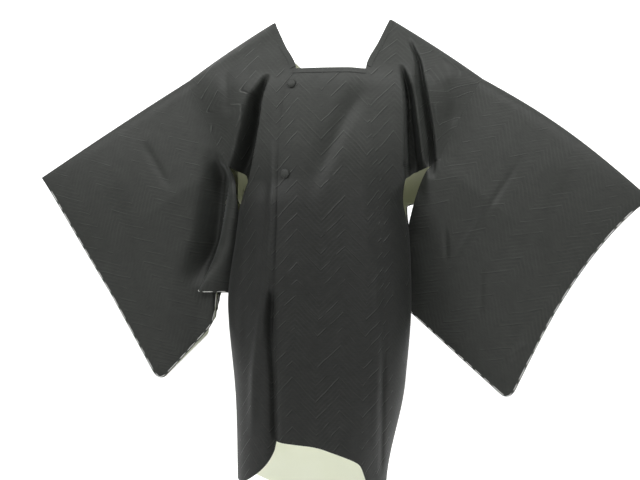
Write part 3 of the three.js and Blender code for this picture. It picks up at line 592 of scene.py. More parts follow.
def make_mesh(name, points, faces, uv, face_materials, materials, sharp=None):
    """A piece of the coat. Edges between points with the same number over 0 in sharp are sharp."""
    mesh = bpy.data.meshes.new(name)
    mesh.from_pydata((points * MM).tolist(), [], faces.tolist())
    layer = mesh.uv_layers.new(name="cloth")
    loops = np.empty(len(mesh.loops), np.int32)
    mesh.loops.foreach_get("vertex_index", loops)
    layer.data.foreach_set("uv", (uv[loops] * MM).astype(np.float32).ravel())
    for material in materials:
        mesh.materials.append(material)
    mesh.polygons.foreach_set("material_index", np.asarray(face_materials, np.int32))
    mesh.polygons.foreach_set("use_smooth", np.ones(len(mesh.polygons), bool))
    if sharp is not None:
        ends = np.empty(len(mesh.edges) * 2, np.int32)
        mesh.edges.foreach_get("vertices", ends)
        ends = ends.reshape(-1, 2)
        on_rim = sharp[ends]
        mesh.edges.foreach_set("use_edge_sharp", (on_rim[:, 0] > 0) & (on_rim[:, 0] == on_rim[:, 1]))
    mesh.update()
    piece = bpy.data.objects.new(name, mesh)
    bpy.context.scene.collection.objects.link(piece)
    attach(piece, "root")
    return piece


def wall(name, grid, normals, thickness, uv, outside, inside=None):
    """A closed sheet: the grid moved half its thickness to each side, with a rim. Its faces look outwards."""
    if np.mean(np.sum(grid_normals(grid) * normals, axis=2)) < 0:
        grid, normals, uv = grid[:, ::-1], normals[:, ::-1], uv[:, ::-1]
    rows, columns = grid.shape[:2]
    count = rows * columns
    points = np.concatenate([
        (grid + normals * thickness / 2).reshape(-1, 3),
        (grid - normals * thickness / 2).reshape(-1, 3),
    ])
    faces = [
        grid_faces(rows, columns, 0, False),
        grid_faces(rows, columns, count, True),
        rim_faces(rows, columns, 0, count),
    ]
    border = np.zeros((rows, columns), int)
    border[[0, -1]] = 1
    border[:, [0, -1]] = 1
    sharp = np.concatenate([border.ravel(), 2 * border.ravel()])
    materials = [outside] + ([inside] if inside else [])
    kinds = [np.zeros(len(faces[0])), np.full(len(faces[1]), len(materials) - 1), np.zeros(len(faces[2]))]
    both_uv = np.concatenate([uv.reshape(-1, 2)] * 2)
    return make_mesh(name, points, np.concatenate(faces), both_uv, np.concatenate(kinds), materials, sharp)


# ---------- materials ----------


class Graph:
    """Builds a material's nodes. A number may stand where a socket is asked for."""

    def __init__(self, name):
        self.material = bpy.data.materials.new(name)
        self.material.use_nodes = True
        self.tree = self.material.node_tree
        self.tree.nodes.clear()
        self.output = self.tree.nodes.new("ShaderNodeOutputMaterial")

    def put(self, socket, value):
        if isinstance(value, bpy.types.NodeSocket):
            self.tree.links.new(value, socket)
        else:
            socket.default_value = value

    def node(self, kind, inputs, output=0, **settings):
        """One output of a new node, whose inputs are given by name or number."""
        node = self.tree.nodes.new(kind)
        for key, value in settings.items():
            setattr(node, key, value)
        for key, value in inputs.items():
            self.put(node.inputs[key], value)
        return node.outputs[output]

    def math(self, operation, *values):
        return self.node("ShaderNodeMath", dict(enumerate(values)), operation=operation)

    def add(self, a, b):
        return self.math("ADD", a, b)

    def times(self, a, b):
        return self.math("MULTIPLY", a, b)

    def map_range(self, value, low, high, to_low=0.0, to_high=1.0, kind="SMOOTHSTEP"):
        inputs = {"Value": value, "From Min": low, "From Max": high, "To Min": to_low, "To Max": to_high}
        return self.node("ShaderNodeMapRange", inputs, interpolation_type=kind)

    def cloth_place(self):
        """A place on the flat cloth, and how far across and down it lies, in metres."""
        place = self.node("ShaderNodeUVMap", {}, uv_map="cloth")
        return place, *(self.node("ShaderNodeSeparateXYZ", {0: place}, axis) for axis in (0, 1))

    def part_place(self):
        return self.node("ShaderNodeTexCoord", {}, "Object")

    def height(self):
        """How high a place lies over the part's origin, in metres."""
        return self.node("ShaderNodeSeparateXYZ", {0: self.part_place()}, 2)

    def noise(self, vector, scale, detail=2.0, roughness=0.5):
        inputs = {"Vector": vector, "Scale": scale, "Detail": detail, "Roughness": roughness}
        return self.node("ShaderNodeTexNoise", inputs)

    def stretched(self, vector, scale):
        return self.node("ShaderNodeMapping", {"Vector": vector, "Scale": scale})

    def mix(self, factor, a, b):
        return self.node("ShaderNodeMix", {"Factor": factor, 6: a, 7: b}, 2, data_type="RGBA")

    def bump(self, height, strength, distance):
        return self.node("ShaderNodeBump", {"Strength": strength, "Distance": distance, "Height": height})

    def surface(self, colour, roughness, **others):
        """Makes the material's surface. The others are further inputs of its shader."""
        inputs = {name.replace("_", " "): value for name, value in others.items()}
        inputs.update({"Base Color": colour, "Roughness": roughness})
        self.put(self.output.inputs["Surface"], self.node("ShaderNodeBsdfPrincipled", inputs))
        return self.material


CHARCOAL = (0.0118, 0.0127, 0.0113, 1.0), (0.0460, 0.0492, 0.0440, 1.0)  # its darkest and lightest tone
# The weave's sizes are in metres.
CHEVRON_WIDTH = 0.0468  # of one column of slanted strokes
STROKE_PITCH = 0.032  # from one stroke to the next, down the cloth
FINE_PITCH = 0.0105
FAINT_STROKES = 0.22  # how strong the strokes of every other column are
PAINTED_SHADE_TONES = (0.22, 0.64)  # painted shade: how much darker the two tones of the body's lower part are painted than its shoulders'
# the heights in metres between which the painted shade comes in, and how far noise waves its edge
PAINTED_SHADE_TOP, PAINTED_SHADE_BOTTOM, PAINTED_SHADE_WAVER = -0.22, -0.42, 0.12
STROKE_HALF, SHADOW_HALF, SHADOW_PHASE = 0.055, 0.07, 0.41  # shares of the pitch
BROKEN_FROM, BROKEN_TO = 0.38, 0.60  # the noise levels between which a stroke comes in
BASE_TONE = 0.34
# the sheen of the sleeves' and buttons' silk, and the lower sheen of the body's silk, which carries the
# painted shade
SHEEN, BODY_SHEEN = 0.12, 0.03


def charcoal_cloth(name, strong_column, strokes=1.0, painted_shade=False):
    """Charcoal silk with a tone-on-tone chevron of slanted, slightly puckered, broken strokes, whose light
    tone is partly a painted highlight on the puckers, with a painted shadow beside each.

    The strokes of every other column catch less light: strong_column is 1 or 0, for which of them don't.
    Where the last argument is set, the lower part is painted darker than the shoulders, by height over the
    part: painted shade for light that falls off downwards.
    """
    g = Graph(name)
    place, across, down = g.cloth_place()
    wobble = g.times(g.add(g.noise(place, 20.0, 2.0), -0.5), 0.010)
    slant = g.math("PINGPONG", across, CHEVRON_WIDTH)
    level = g.add(g.add(down, slant), wobble)
    falling = g.math("GREATER_THAN", g.math("FRACT", g.times(across, 0.5 / CHEVRON_WIDTH)), 0.5)
    low, high = (FAINT_STROKES, 1.0) if strong_column else (1.0, FAINT_STROKES)
    column = g.map_range(falling, 0.0, 1.0, low, high, kind="LINEAR")
    phase = g.math("FRACT", g.times(level, 1 / STROKE_PITCH))
    line = g.map_range(g.math("ABSOLUTE", g.add(phase, -0.5)), STROKE_HALF, 0.0)
    shadow = g.map_range(g.math("ABSOLUTE", g.add(phase, -SHADOW_PHASE)), SHADOW_HALF, 0.0)
    broken = g.map_range(g.noise(g.stretched(place, (1.0, 1.6, 1.0)), 26.0, 1.0), BROKEN_FROM, BROKEN_TO)
    weight = g.times(g.times(broken, column), strokes)
    line, shadow = g.times(line, weight), g.times(shadow, weight)
    fine_wave = g.map_range(g.math("SINE", g.times(level, 2 * math.pi / FINE_PITCH)), -0.2, 1.0)
    fine = g.times(fine_wave, g.map_range(g.noise(place, 14.0, 2.0), 0.35, 0.7, 0.15, 1.0))
    slub = g.noise(g.stretched(place, (60.0, 420.0, 1.0)), 1.0, 2.0, 0.6)
    grain = g.noise(g.stretched(place, (1100.0, 700.0, 1.0)), 1.0, 2.0, 0.6)
    mottle = g.noise(place, 48.0, 3.0, 0.6)
    # The strokes are the weave's own lighter pattern and in part a painted highlight on their puckers; the
    # dark line beside each (shadow) is painted shadow, and every other column's strokes are fainter where
    # they catch less light.
    tone = g.add(line, g.times(shadow, -0.5))
    patterns = (fine, 0.4, 0.15), (mottle, 0.5, 0.30), (slub, 0.5, 0.34), (grain, 0.5, 0.30)
    for pattern, middle, share in patterns:
        tone = g.add(tone, g.times(g.add(pattern, -middle), share))
    tone = g.math("MINIMUM", g.math("MAXIMUM", g.add(tone, BASE_TONE), 0.0), 1.0)
    colour = g.mix(tone, *CHARCOAL)
    # painted shade: below the shoulders the colour turns to darker copies of its two tones, by height over
    # the part
    if painted_shade:
        height = g.add(g.height(), g.times(g.add(g.noise(place, 6.0, 1.0), -0.5), PAINTED_SHADE_WAVER))
        shaded_tones = [tuple(k * c for c in end[:3]) + (1.0,) for k, end in zip(PAINTED_SHADE_TONES, CHARCOAL)]
        colour = g.mix(g.map_range(height, PAINTED_SHADE_BOTTOM, PAINTED_SHADE_TOP), g.mix(tone, *shaded_tones), colour)
    relief = g.add(g.times(line, 1.3), g.times(shadow, -0.85))
    relief = g.add(relief, g.add(g.times(fine, 0.12), g.times(grain, 0.25)))
    relief = g.add(relief, g.add(g.times(mottle, 0.4), g.times(slub, 0.2)))
    roughness = g.map_range(tone, 0.0, 1.0, 0.64, 0.5, kind="LINEAR")
    return g.surface(
        colour, roughness, Normal=g.bump(relief, 0.4, 0.0010), Specular_IOR_Level=0.3,
        Sheen_Weight=BODY_SHEEN if painted_shade else SHEEN, Sheen_Roughness=0.35, Sheen_Tint=(0.8, 0.84, 0.84, 1.0),
    )


CREAM = (0.84, 0.86, 0.70, 1.0), (0.90, 0.92, 0.80, 1.0)
LINING_SHADE = (0.61, 0.61, 0.56)  # painted shade: the share of the lining's colour kept inside the coat above the hem
LINING_SHADE_TOP, LINING_SHADE_BOTTOM = -0.48, -0.74
RIB_PITCH, TWIST_PITCH = 0.0016, 0.0009


def lining_cloth(name):
    """Smooth cream silk with a faint cross rib, painted darker inside the coat above the hem, by height over
    the part: painted shade.
    """
    g = Graph(name)
    place, _, down = g.cloth_place()
    cloud = g.noise(place, 12.0, 2.0)
    rib = g.math("SINE", g.times(down, 2 * math.pi / RIB_PITCH))
    # painted shade: above the hem the cream is mixed towards darker copies of itself, by height over the part
    shaded_cream = [tuple(c * k for c, k in zip(end, LINING_SHADE)) + (1.0,) for end in CREAM]
    inside = g.map_range(g.height(), LINING_SHADE_BOTTOM, LINING_SHADE_TOP)
    colour = g.mix(inside, g.mix(cloud, *CREAM), g.mix(cloud, *shaded_cream))
    relief = g.add(g.times(rib, 0.15), cloud)
    return g.surface(
        colour, g.map_range(cloud, 0, 1, 0.5, 0.42), Normal=g.bump(relief, 0.2, 0.0006),
        Sheen_Weight=0.1, Specular_IOR_Level=0.4,
    )


def thread(name):
    """White twisted thread."""
    g = Graph(name)
    _, across, down = g.cloth_place()
    twist = g.math("SINE", g.times(g.add(across, down), 2 * math.pi / TWIST_PITCH))
    colour = g.mix(g.map_range(twist, -1, 1), (0.68, 0.68, 0.66, 1.0), (0.86, 0.86, 0.83, 1.0))
    return g.surface(colour, g.map_range(twist, -1, 1, 0.7, 0.55), Normal=g.bump(twist, 0.3, 0.0002))


SLEEVE_STROKES = 0.36
# the body's silk, painted darker below the shoulders as painted shade
silk = charcoal_cloth("charcoal_silk", strong_column=1, painted_shade=True)
sleeve_silk = {
    "left": charcoal_cloth("charcoal_silk_left_sleeve", strong_column=1, strokes=SLEEVE_STROKES),
    "right": charcoal_cloth("charcoal_silk_right_sleeve", strong_column=0, strokes=SLEEVE_STROKES),
}
button_silk = charcoal_cloth("button_silk", strong_column=1, strokes=0.0)
lining = lining_cloth("cream_lining")
basting = thread("basting_thread")

# ---------- body panels ----------

FINE = 10  # rows of the fine grid in one row of the panel
ACROSS, CROWDED = 84, 0.65  # columns of a panel, and how much they crowd towards its outer edge
EDGE_FADE = 0.06
WEAVE_SHIFT = np.array([43.6, 0.0])  # a chevron's point lies this far from the centre


def shares(count):
    v = np.linspace(0, 1, count + 1)
    return lerp(v, np.sin(v * 0.5 * np.pi), CROWDED)


def plain_y(face, x, height):
    """Either half of the body, before its creases."""
    left = body_y(LEFT, x, height, face)
    right = body_y(RIGHT, x, height, face)
    return np.where(x < lean_at(height), right, left)


def face_y(face, x, height):
    sink = crease_depth(CREASES[face], x, height)
    return plain_y(face, x, height) - OUTWARD[face] * sink


def face_normals(face, x, height):
    """The coat's own normals at a place, so that two walls that meet there agree."""
    slope_x = (face_y(face, x + 1, height) - face_y(face, x - 1, height)) / 2
    slope_z = (face_y(face, x, height + 1) - face_y(face, x, height - 1)) / 2
    return -OUTWARD[face] * unit(np.stack([slope_x, -np.ones_like(slope_x), slope_z], axis=-1))


def seam_normals(side, height):
    return face_normals("front", seam_x(side, height), height)


def panel_points(side, face, row, share):
    """Places on one half of the front or the back: row from the shoulder down, share from its inner edge."""
    place = front_place if face == "front" else back_place
    x, height = place(side, row, share)
    y = body_y(side, x, height, face)
    at_edge = (share == 1) & (height <= SIDE_SEAM_TOP)
    y = np.where(at_edge, OUTWARD[face] * SEAM / 2, y)
    sink = crease_depth(CREASES[face], x, height) * smooth(0, EDGE_FADE, 1 - share)
    return np.stack([x, y - OUTWARD[face] * sink, height], axis=-1)


def arc_uv(grid, start):
    """Cloth coordinates: across from the centre of the coat by length on the cloth, down by height."""
    step = np.hypot(np.diff(grid[..., 0], axis=1), np.diff(grid[..., 1], axis=1))
    length = np.concatenate([np.zeros((len(grid), 1)), np.cumsum(step, axis=1)], axis=1)
    sign = np.sign(grid[:, -1, 0] - grid[:, 0, 0])[:, None]
    return np.stack([start[:, None] + sign * length, grid[..., 2]], axis=-1)


def body_panel(side):
    """The panel's middle surface from the front hem over the shoulder to the back hem."""
    row = np.linspace(0, ROWS, ROWS * FINE + 1)[:, None]
    share = shares(ACROSS)[None, :]
    row, share = np.broadcast_arrays(row, share)
    front = panel_points(side, "front", row, share)
    back = panel_points(side, "back", row, share)
    grid = np.concatenate([front[::-1], back[1:]])
    normals = outward_normals(grid, len(front) // 2, ACROSS // 2)
    sewn_rows = np.arange(len(front) - 1 - NECK_ROWS * FINE)
    normals[sewn_rows, 0] = seam_normals(side, grid[sewn_rows, 0, 2])
    spine = np.arange(len(front) - 1 + NAPE_ROWS * FINE, len(grid))
    spine_height = grid[spine, 0, 2]
    normals[spine, 0] = face_normals("back", lean_at(spine_height), spine_height)
    uv_front = arc_uv(front, front[:, 0, 0])
    uv_back = arc_uv(back, back[:, 0, 0])
    uv_back[..., 1] *= -1
    uv = np.concatenate([uv_front[::-1], uv_back[1:]]) - WEAVE_SHIFT
    return grid, normals, uv, len(front) - 1


panels = {}
for side in (LEFT, RIGHT):
    name = side["name"]
    grid, normals, uv, shoulder = body_panel(side)
    panels[name] = (grid, normals, uv, shoulder)
    piece = wall(f"cloth_body_{name}", grid, normals, WALL, uv, silk, lining)
    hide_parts(f"body_{name}")

# ---------- front overlaps ----------

OVERLAP_ACROSS = 60


def overlap_lift(x, height):
    return LAYER * smooth(0, FLAP_EASE, seam_x(LEFT, height) - x)


def front_strip(from_x, to_x, lift_at, sewn_side):
    """A strip of the front from x to x, down from the neck. It is sewn to the panel of one side."""
    row = np.linspace(NECK_ROWS, ROWS, (ROWS - NECK_ROWS) * FINE + 1)[:, None]
    level = front_inner_height(row)
    share = np.linspace(0, 1, OVERLAP_ACROSS + 1)[None, :]
    x = lerp(from_x(level), to_x(level), share)
    height = towards_hem(front_hem, x, level + 0 * x)
    grid = np.stack([x, face_y("front", x, height), height], axis=-1)
    normals = grid_normals(grid)
    normals = np.where(normals[..., 1:2] > 0, -normals, normals)
    column = -1 if sewn_side is LEFT else 0
    normals[:, column] = seam_normals(sewn_side, height[:, column])
    return grid + normals * lift_at(x, height)[..., None], normals


def overlap(side):
    """The middle surface of one front overlap. The left one lies over the right one."""

    def seam(height):
        return seam_x(side, height) - side["hand"] * SEAM / 2

    if side is LEFT:
        return front_strip(flap_edge_x, seam, overlap_lift, side)
    return front_strip(seam, lambda height: 0 * height + UNDER_EDGE_X, lambda x, height: 0 * x, side)


for side in (LEFT, RIGHT):
    name = side["name"]
    grid, normals = overlap(side)
    uv = arc_uv(grid, grid[:, 0, 0]) - WEAVE_SHIFT
    piece = wall(f"cloth_overlap_{name}", grid, normals, WALL, uv, silk, lining)
    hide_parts(f"overlap_{name}")

# ---------- sleeves ----------


def sleeve_direction(side):
    """Outwards, at right angles to the armhole seam."""
    top = np.array([side["hand"] * ARMHOLE_REACH, 0, -side["drop"]])
    end = np.array([side["hand"] * ARMHOLE_END_REACH, 0, ARMHOLE_END_HEIGHT])
    down = unit(end - top)
    return unit(np.array([-down[2] * side["hand"], 0, down[0] * side["hand"]]))


def sleeve_inner_edge(side, q, face, gap):
    """The armhole seam and, below it, the open edge that hangs by the body (furi): q is 0 at its top."""
    armhole = np.minimum(1, q / ARMHOLE_SHARE)
    height = lerp(-side["drop"], ARMHOLE_END_HEIGHT, armhole)
    along = lerp(ARMHOLE_REACH, ARMHOLE_END_REACH, armhole)
    y = body_y(side, side["hand"] * along, height, face)
    point = np.stack([side["hand"] * along, y, height], axis=-1) + sleeve_direction(side) * ARMHOLE_GAP
    below = np.maximum(0, below_armhole(q))[..., None]
    end_x, end_y, end_z = side["furi_bottom"]
    bottom = np.stack([side["hand"] * end_x + 0 * q, end_y + OUTWARD[face] * gap, end_z + 0 * q], axis=-1)
    edge = lerp(point, bottom, below)
    bulge = side["furi_bulge"] * np.sin(np.pi * below[..., 0] ** FURI_BULGE_SKEW)
    edge[..., 0] -= side["hand"] * bulge
    return edge


def sleeve_outer_edge(side, q, face, gap):
    """The cuff: q is 0 at the top fold and 1 at the lower edge."""
    top, bottom = np.array(side["cuff_top"], float), np.array(side["cuff_bottom"], float)
    point = lerp(top, bottom, q[..., None])
    opened = np.minimum(1, q / OPEN_SHARE)
    inset = side["cuff_inset"] * np.sin(np.pi * q ** INSET_SKEW)
    wide = gap + (side["cuff_gap"] - EDGE_GAP) * np.sin(np.pi * opened)
    x = side["hand"] * (point[..., 0] - inset)
    return np.stack([x, point[..., 1] + OUTWARD[face] * wide, point[..., 2]], axis=-1)


SLEEVE_DOWN, SLEEVE_ACROSS = 118, 96
FOLD_SHARE = 0.008  # the top fold turns over this share of the sleeve's length
FOLD_STEPS = np.array([0, 0.04, 0.12, 0.25, 0.45, 0.7])  # rows within that turn, as shares of it
SEWN_GAP = 1.25
SEWN_FADE_OUT, SEWN_FADE_DOWN = 0.06, 0.05  # shares of a sleeve over which its layers part beside a seam
ROOM_POWER_OUT, ROOM_POWER_DOWN = 0.8, 0.7
CREASE_FADE_BODY, CREASE_FADE_EDGE = 0.05, 0.04  # shares over which the creases end before a sleeve's edges
FURI_BULGE_SKEW = 0.5
FIELD_ALONG, FIELD_PAST_ARMHOLE = 0.42, 0.3  # how far over the sleeve the body's soft surface fades out
PLEAT_OUT_GROWTH, PLEAT_DEPTH_GROWTH = 2.6, 0.9
LAYER_ROOM = 0.18  # the back layer of a sleeve sinks this share deeper, so that steep layers stay apart


def below_armhole(q):
    """How far down the open edge by the body a place is: 0 at the armhole's end, 1 at the lower edge."""
    return (q - ARMHOLE_SHARE) / (1 - ARMHOLE_SHARE)


def pleated(p, q, face, x, y, z):
    """The right sleeve's hanging end, bent by its pleat."""
    below = np.maximum(1e-6, below_armhole(q))
    local = np.minimum(1, p / below)
    grows = lambda power: np.where(q > ARMHOLE_SHARE, below ** power, 0)
    z = z + (pleat["rise"] if face == "front" else back_rise)(local) * grows(PLEAT_GROWTH)
    out = pleat["out" if face == "front" else "back_out"](local)
    x = x + RIGHT["hand"] * out * grows(PLEAT_OUT_GROWTH)
    if face == "front":
        y = y + pleat["depth"](local) * grows(PLEAT_DEPTH_GROWTH)
    return x, y, z


def sleeve_point(side, p, q, face):
    """A place on a sleeve: p from the body out to the cuff, q from the top fold down."""
    turn = np.clip(q / FOLD_SHARE, 0, 1)
    fold = np.sqrt(np.maximum(0, 1 - (1 - turn) ** 2))
    from_cuff = np.where(q > OPEN_SHARE, smooth(0, SEWN_FADE_OUT, 1 - p), 1)
    sewn = np.minimum(smooth(0, SEWN_FADE_DOWN, 1 - q), from_cuff)
    gap = lerp(SEWN_GAP, EDGE_GAP, sewn) * fold
    point = lerp(sleeve_inner_edge(side, q, face, gap), sleeve_outer_edge(side, q, face, gap), p[..., None])
    room = SLEEVE_ROOM * np.sin(np.pi * np.clip(p, 0, 1)) ** ROOM_POWER_OUT
    room = room * np.sin(np.pi * np.clip(q, 0, 1)) ** ROOM_POWER_DOWN
    x, y, z = point[..., 0], point[..., 1] + OUTWARD[face] * room, point[..., 2]
    z = z + side["top_arch"] * np.sin(np.pi * p) * (1 - q) ** 2
    if side is RIGHT:
        x, y, z = pleated(p, q, face, x, y, z)
    past_armhole = smooth(0, FIELD_PAST_ARMHOLE, q - ARMHOLE_SHARE)
    part = (1 - smooth(0, FIELD_ALONG, p)) * (1 - past_armhole)
    y = lerp(y, field_y(face, x, z) + (valley_depth(x, z) if face == "front" else 0.0), part)
    fade = smooth(0, CREASE_FADE_BODY, p) * smooth(0, CREASE_FADE_EDGE, 1 - p)
    fade = fade * smooth(0, CREASE_FADE_EDGE, 1 - q)
    sink = crease_depth(CREASES[f"sleeve_{side['name']}"], x, z) * fade
    y = y + sink + (LAYER_ROOM * np.abs(sink) if face == "back" else 0.0)
    return np.stack([x, y, z], axis=-1)


def rounded(p, q, width, drop):
    """The outer lower corner's square is drawn in to a quarter circle."""
    size_p, size_q = CORNER_RADIUS / width, CORNER_RADIUS / drop
    a, b = (p - 1 + size_p) / size_p, (q - 1 + size_q) / size_q
    inside = (a > 0) & (b > 0)
    a, b = np.clip(a, 0, 1), np.clip(b, 0, 1)
    round_p = 1 - size_p + size_p * a * np.sqrt(1 - b * b / 2)
    round_q = 1 - size_q + size_q * b * np.sqrt(1 - a * a / 2)
    return np.where(inside, round_p, p), np.where(inside, round_q, q)


def sleeve_sizes(side):
    """How wide a sleeve is along its top fold, and how long its cuff is."""
    top = np.array([ARMHOLE_REACH, 0, -side["drop"]])
    cuff = np.array([side["cuff_top"][0], 0, side["cuff_top"][2]])
    bottom = np.array([side["cuff_bottom"][0], 0, side["cuff_bottom"][2]])
    return np.linalg.norm(cuff - top), np.linalg.norm(bottom - cuff)


def sleeve_uv(side, grid, back_rows):
    """Cloth coordinates turned with the sleeve: across from the armhole, down from the top fold."""
    out = unit(np.array([side["cuff_top"][0] - ARMHOLE_REACH, side["cuff_top"][2] + side["drop"]]))
    x = grid[..., 0] * side["hand"] - ARMHOLE_REACH
    z = grid[..., 2] + side["drop"]
    across = x * out[0] + z * out[1]
    down = -x * out[1] + z * out[0]
    down = np.where(back_rows[:, None], -down, down)
    return np.stack([side["hand"] * across, down], axis=-1)


def sleeve_grid(side):
    """The sleeve's middle surface, from the front layer's lower edge over the top fold to the back's."""
    width, drop = sleeve_sizes(side)
    q = np.concatenate([FOLD_SHARE * FOLD_STEPS, np.linspace(FOLD_SHARE, 1, SLEEVE_DOWN)])
    p = np.linspace(0, 1, SLEEVE_ACROSS)
    p_grid, q_grid = np.broadcast_arrays(p[None, :], q[:, None])
    p_grid, q_grid = rounded(p_grid, q_grid, width, drop)
    front = sleeve_point(side, p_grid, q_grid, "front")
    back = sleeve_point(side, p_grid, q_grid, "back")
    grid = np.concatenate([front[::-1], back[1:]])
    is_back = np.concatenate([np.zeros(len(front), bool), np.ones(len(back) - 1, bool)])
    normals = outward_normals(grid, len(front) // 2, SLEEVE_ACROSS // 2)
    return grid, normals, sleeve_uv(side, grid, is_back)


sleeve_grids = {}
for side in (LEFT, RIGHT):
    name = side["name"]
    grid, normals, uv = sleeve_grid(side)
    sleeve_grids[name] = (grid, normals)
    piece = wall(f"cloth_sleeve_{name}", grid, normals, WALL, uv, sleeve_silk[name], lining)
    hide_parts(f"sleeve_{name}")

# ---------- basting stitches ----------

STITCH = {
    "inset": 3.0, "radius": 0.6, "shortest": 14.0, "longest": 34.0, "least_gap": 4.0, "most_gap": 8.0,
    "float": 0.08, "sides": 6, "rings": 9,
}
BASTE_FROM = 12  # the stitches start this many rows below the top fold


def inset_path(edge, inner, normals):
    """The stitches' path: a little in from an edge, and just over the cloth."""
    over_cloth = WALL / 2 + STITCH["radius"] + STITCH["float"]
    return edge + unit(inner - edge) * STITCH["inset"] + normals * over_cloth


def stitches(path, normals, random):
    """Dashes of thread along a path that lies just over the cloth: points and faces of one mesh."""
    length = np.concatenate([[0], np.cumsum(np.linalg.norm(np.diff(path, axis=0), axis=1))])
    along = lambda values, at: np.stack([np.interp(at, length, values[:, k]) for k in range(3)], axis=1)
    around = np.linspace(0, 2 * np.pi, STITCH["sides"], endpoint=False)
    points, faces, start = [], [], random.uniform(0, STITCH["most_gap"])
    first = 0
    while start < length[-1] - STITCH["shortest"]:
        end = min(start + random.uniform(STITCH["shortest"], STITCH["longest"]), length[-1])
        run = np.linspace(0, 1, STITCH["rings"])
        centre = along(path, start + (end - start) * run)
        up = along(normals, start + (end - start) * run)
        forward = np.gradient(centre, axis=0)
        aside = unit(np.cross(forward, up))
        radius = STITCH["radius"] * np.sqrt(np.clip(1 - (2 * run - 1) ** 6, 0.04, 1))
        ring = (
            aside[:, None] * np.cos(around)[None, :, None] + up[:, None] * np.sin(around)[None, :, None]
        ) * radius[:, None, None]
        points.append((centre[:, None] + ring).reshape(-1, 3))
        faces.append(ring_faces(STITCH["rings"], STITCH["sides"], first))
        first += STITCH["rings"] * STITCH["sides"]
        start = end + random.uniform(STITCH["least_gap"], STITCH["most_gap"])
    return np.concatenate(points), np.concatenate(faces)


def baste(side, seed):
    """Stitches down the cuff and along the sleeve's lower edge, on both layers.

    The places three cells in from an edge tell which way is inwards.
    """
    grid, normals = sleeve_grids[side["name"]]
    random = np.random.default_rng(seed)
    middle = len(grid) // 2
    all_points, all_faces, first = [], [], 0
    for start, end, inner_row in ((middle - BASTE_FROM, 0, 3), (middle + BASTE_FROM, len(grid) - 1, -4)):
        order = list(range(start, end, 1 if end > start else -1))
        edge = np.concatenate([grid[order, -1], grid[end, ::-1]])
        inner = np.concatenate([grid[order, -4], grid[inner_row, ::-1]])
        up = np.concatenate([normals[order, -2], normals[end, ::-1]])
        points, faces = stitches(inset_path(edge, inner, up), up, random)
        all_points.append(points)
        all_faces.append(faces + first)
        first += len(points)
    points, faces = np.concatenate(all_points), np.concatenate(all_faces)
    make_mesh(f"basting_{side['name']}", points, faces, points[:, [0, 2]], np.zeros(len(faces)), [basting])


baste(LEFT, 11)
baste(RIGHT, 23)

# ---------- collar bands ----------

BAND_ACROSS = np.linspace(0.04, 1, 8)  # shares of a band's width
BAND_START = 0.12  # of a row, from the shoulder point of the neck
PROBE_ROW, PROBE_SHARE = 0.05, 0.004  # steps to the places from which a band's normals are taken
BAND_PROBE = math.sin(math.pi / 24)  # the share of a panel over which its width there is measured


def band_rows(side, face, rows):
    """Places of a band on a panel along its inner edge: the points and the normals across its width."""
    edge = panel_points(side, face, rows, 0 * rows)
    following = panel_points(side, face, rows, 0 * rows + BAND_PROBE)
    share = BAND_PROBE * COLLAR_WIDTH / np.linalg.norm(following - edge, axis=-1)
    row_grid, share_grid = rows[:, None] + 0 * BAND_ACROSS, share[:, None] * BAND_ACROSS
    points = panel_points(side, face, row_grid, share_grid)
    at = lambda dr, ds: panel_points(side, face, np.maximum(row_grid + dr, 0.01), share_grid + ds)
    normal = unit(np.cross(at(PROBE_ROW, 0) - points, at(0, PROBE_SHARE) - points))
    return points, np.where(normal[..., 1:2] * OUTWARD[face] < 0, -normal, normal)


def band_piece(name, node, points, normals):
    """A slightly crowned band that lies on the cloth at these points."""
    rise = WALL / 2 + BAND_CLEARANCE + COLLAR_WALL / 2
    crown = COLLAR_CROWN * np.sin(np.linspace(0, np.pi, points.shape[1]))[None, :, None]
    grid = points + normals * (rise + crown)
    step = np.linalg.norm(np.diff(grid, axis=0), axis=2).mean(axis=1)
    along = np.concatenate([[0], np.cumsum(step)])[:, None] + 0 * grid[..., 0]
    across = np.linspace(0, COLLAR_WIDTH, grid.shape[1])[None, :] + 0 * grid[..., 0]
    piece = wall(name, grid, normals, COLLAR_WALL, np.stack([across, along], axis=-1), silk)
    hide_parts(node)


for side in (LEFT, RIGHT):
    rows = np.linspace(BAND_START, NECK_ROWS - COLLAR_CORNER_SHARE, 50)
    points, normals = band_rows(side, "front", rows)
    band_piece(f"cloth_collar_{side['name']}", f"collar_{side['name']}", points, normals)

left_points, left_normals = band_rows(LEFT, "back", np.linspace(BAND_START, NAPE_ROWS, 60))
right_points, right_normals = band_rows(RIGHT, "back", np.linspace(BAND_START, NAPE_ROWS, 60))
nape_points = np.concatenate([left_points, right_points[::-1][1:]])
nape_normals = np.concatenate([left_normals, right_normals[::-1][1:]])
band_piece("cloth_collar_back", "collar_back", nape_points, nape_normals)

grid, normals = overlap(LEFT)
downwards = unit(grid[3] - grid[0])
across = BAND_ACROSS[None, :, None] * COLLAR_WIDTH
front_points = grid[0][:, None, :] + downwards[:, None, :] * across
front_normals = np.repeat(normals[1][:, None, :], len(BAND_ACROSS), axis=1)
band_piece("cloth_collar_front", "collar_front", front_points, front_normals)

# ---------- the back's lining ----------

LINING_HEM_SHARE = 0.1
LINING_SHARE = math.sin(math.pi / 2 * 11 / 12)  # how far it goes towards the side seams


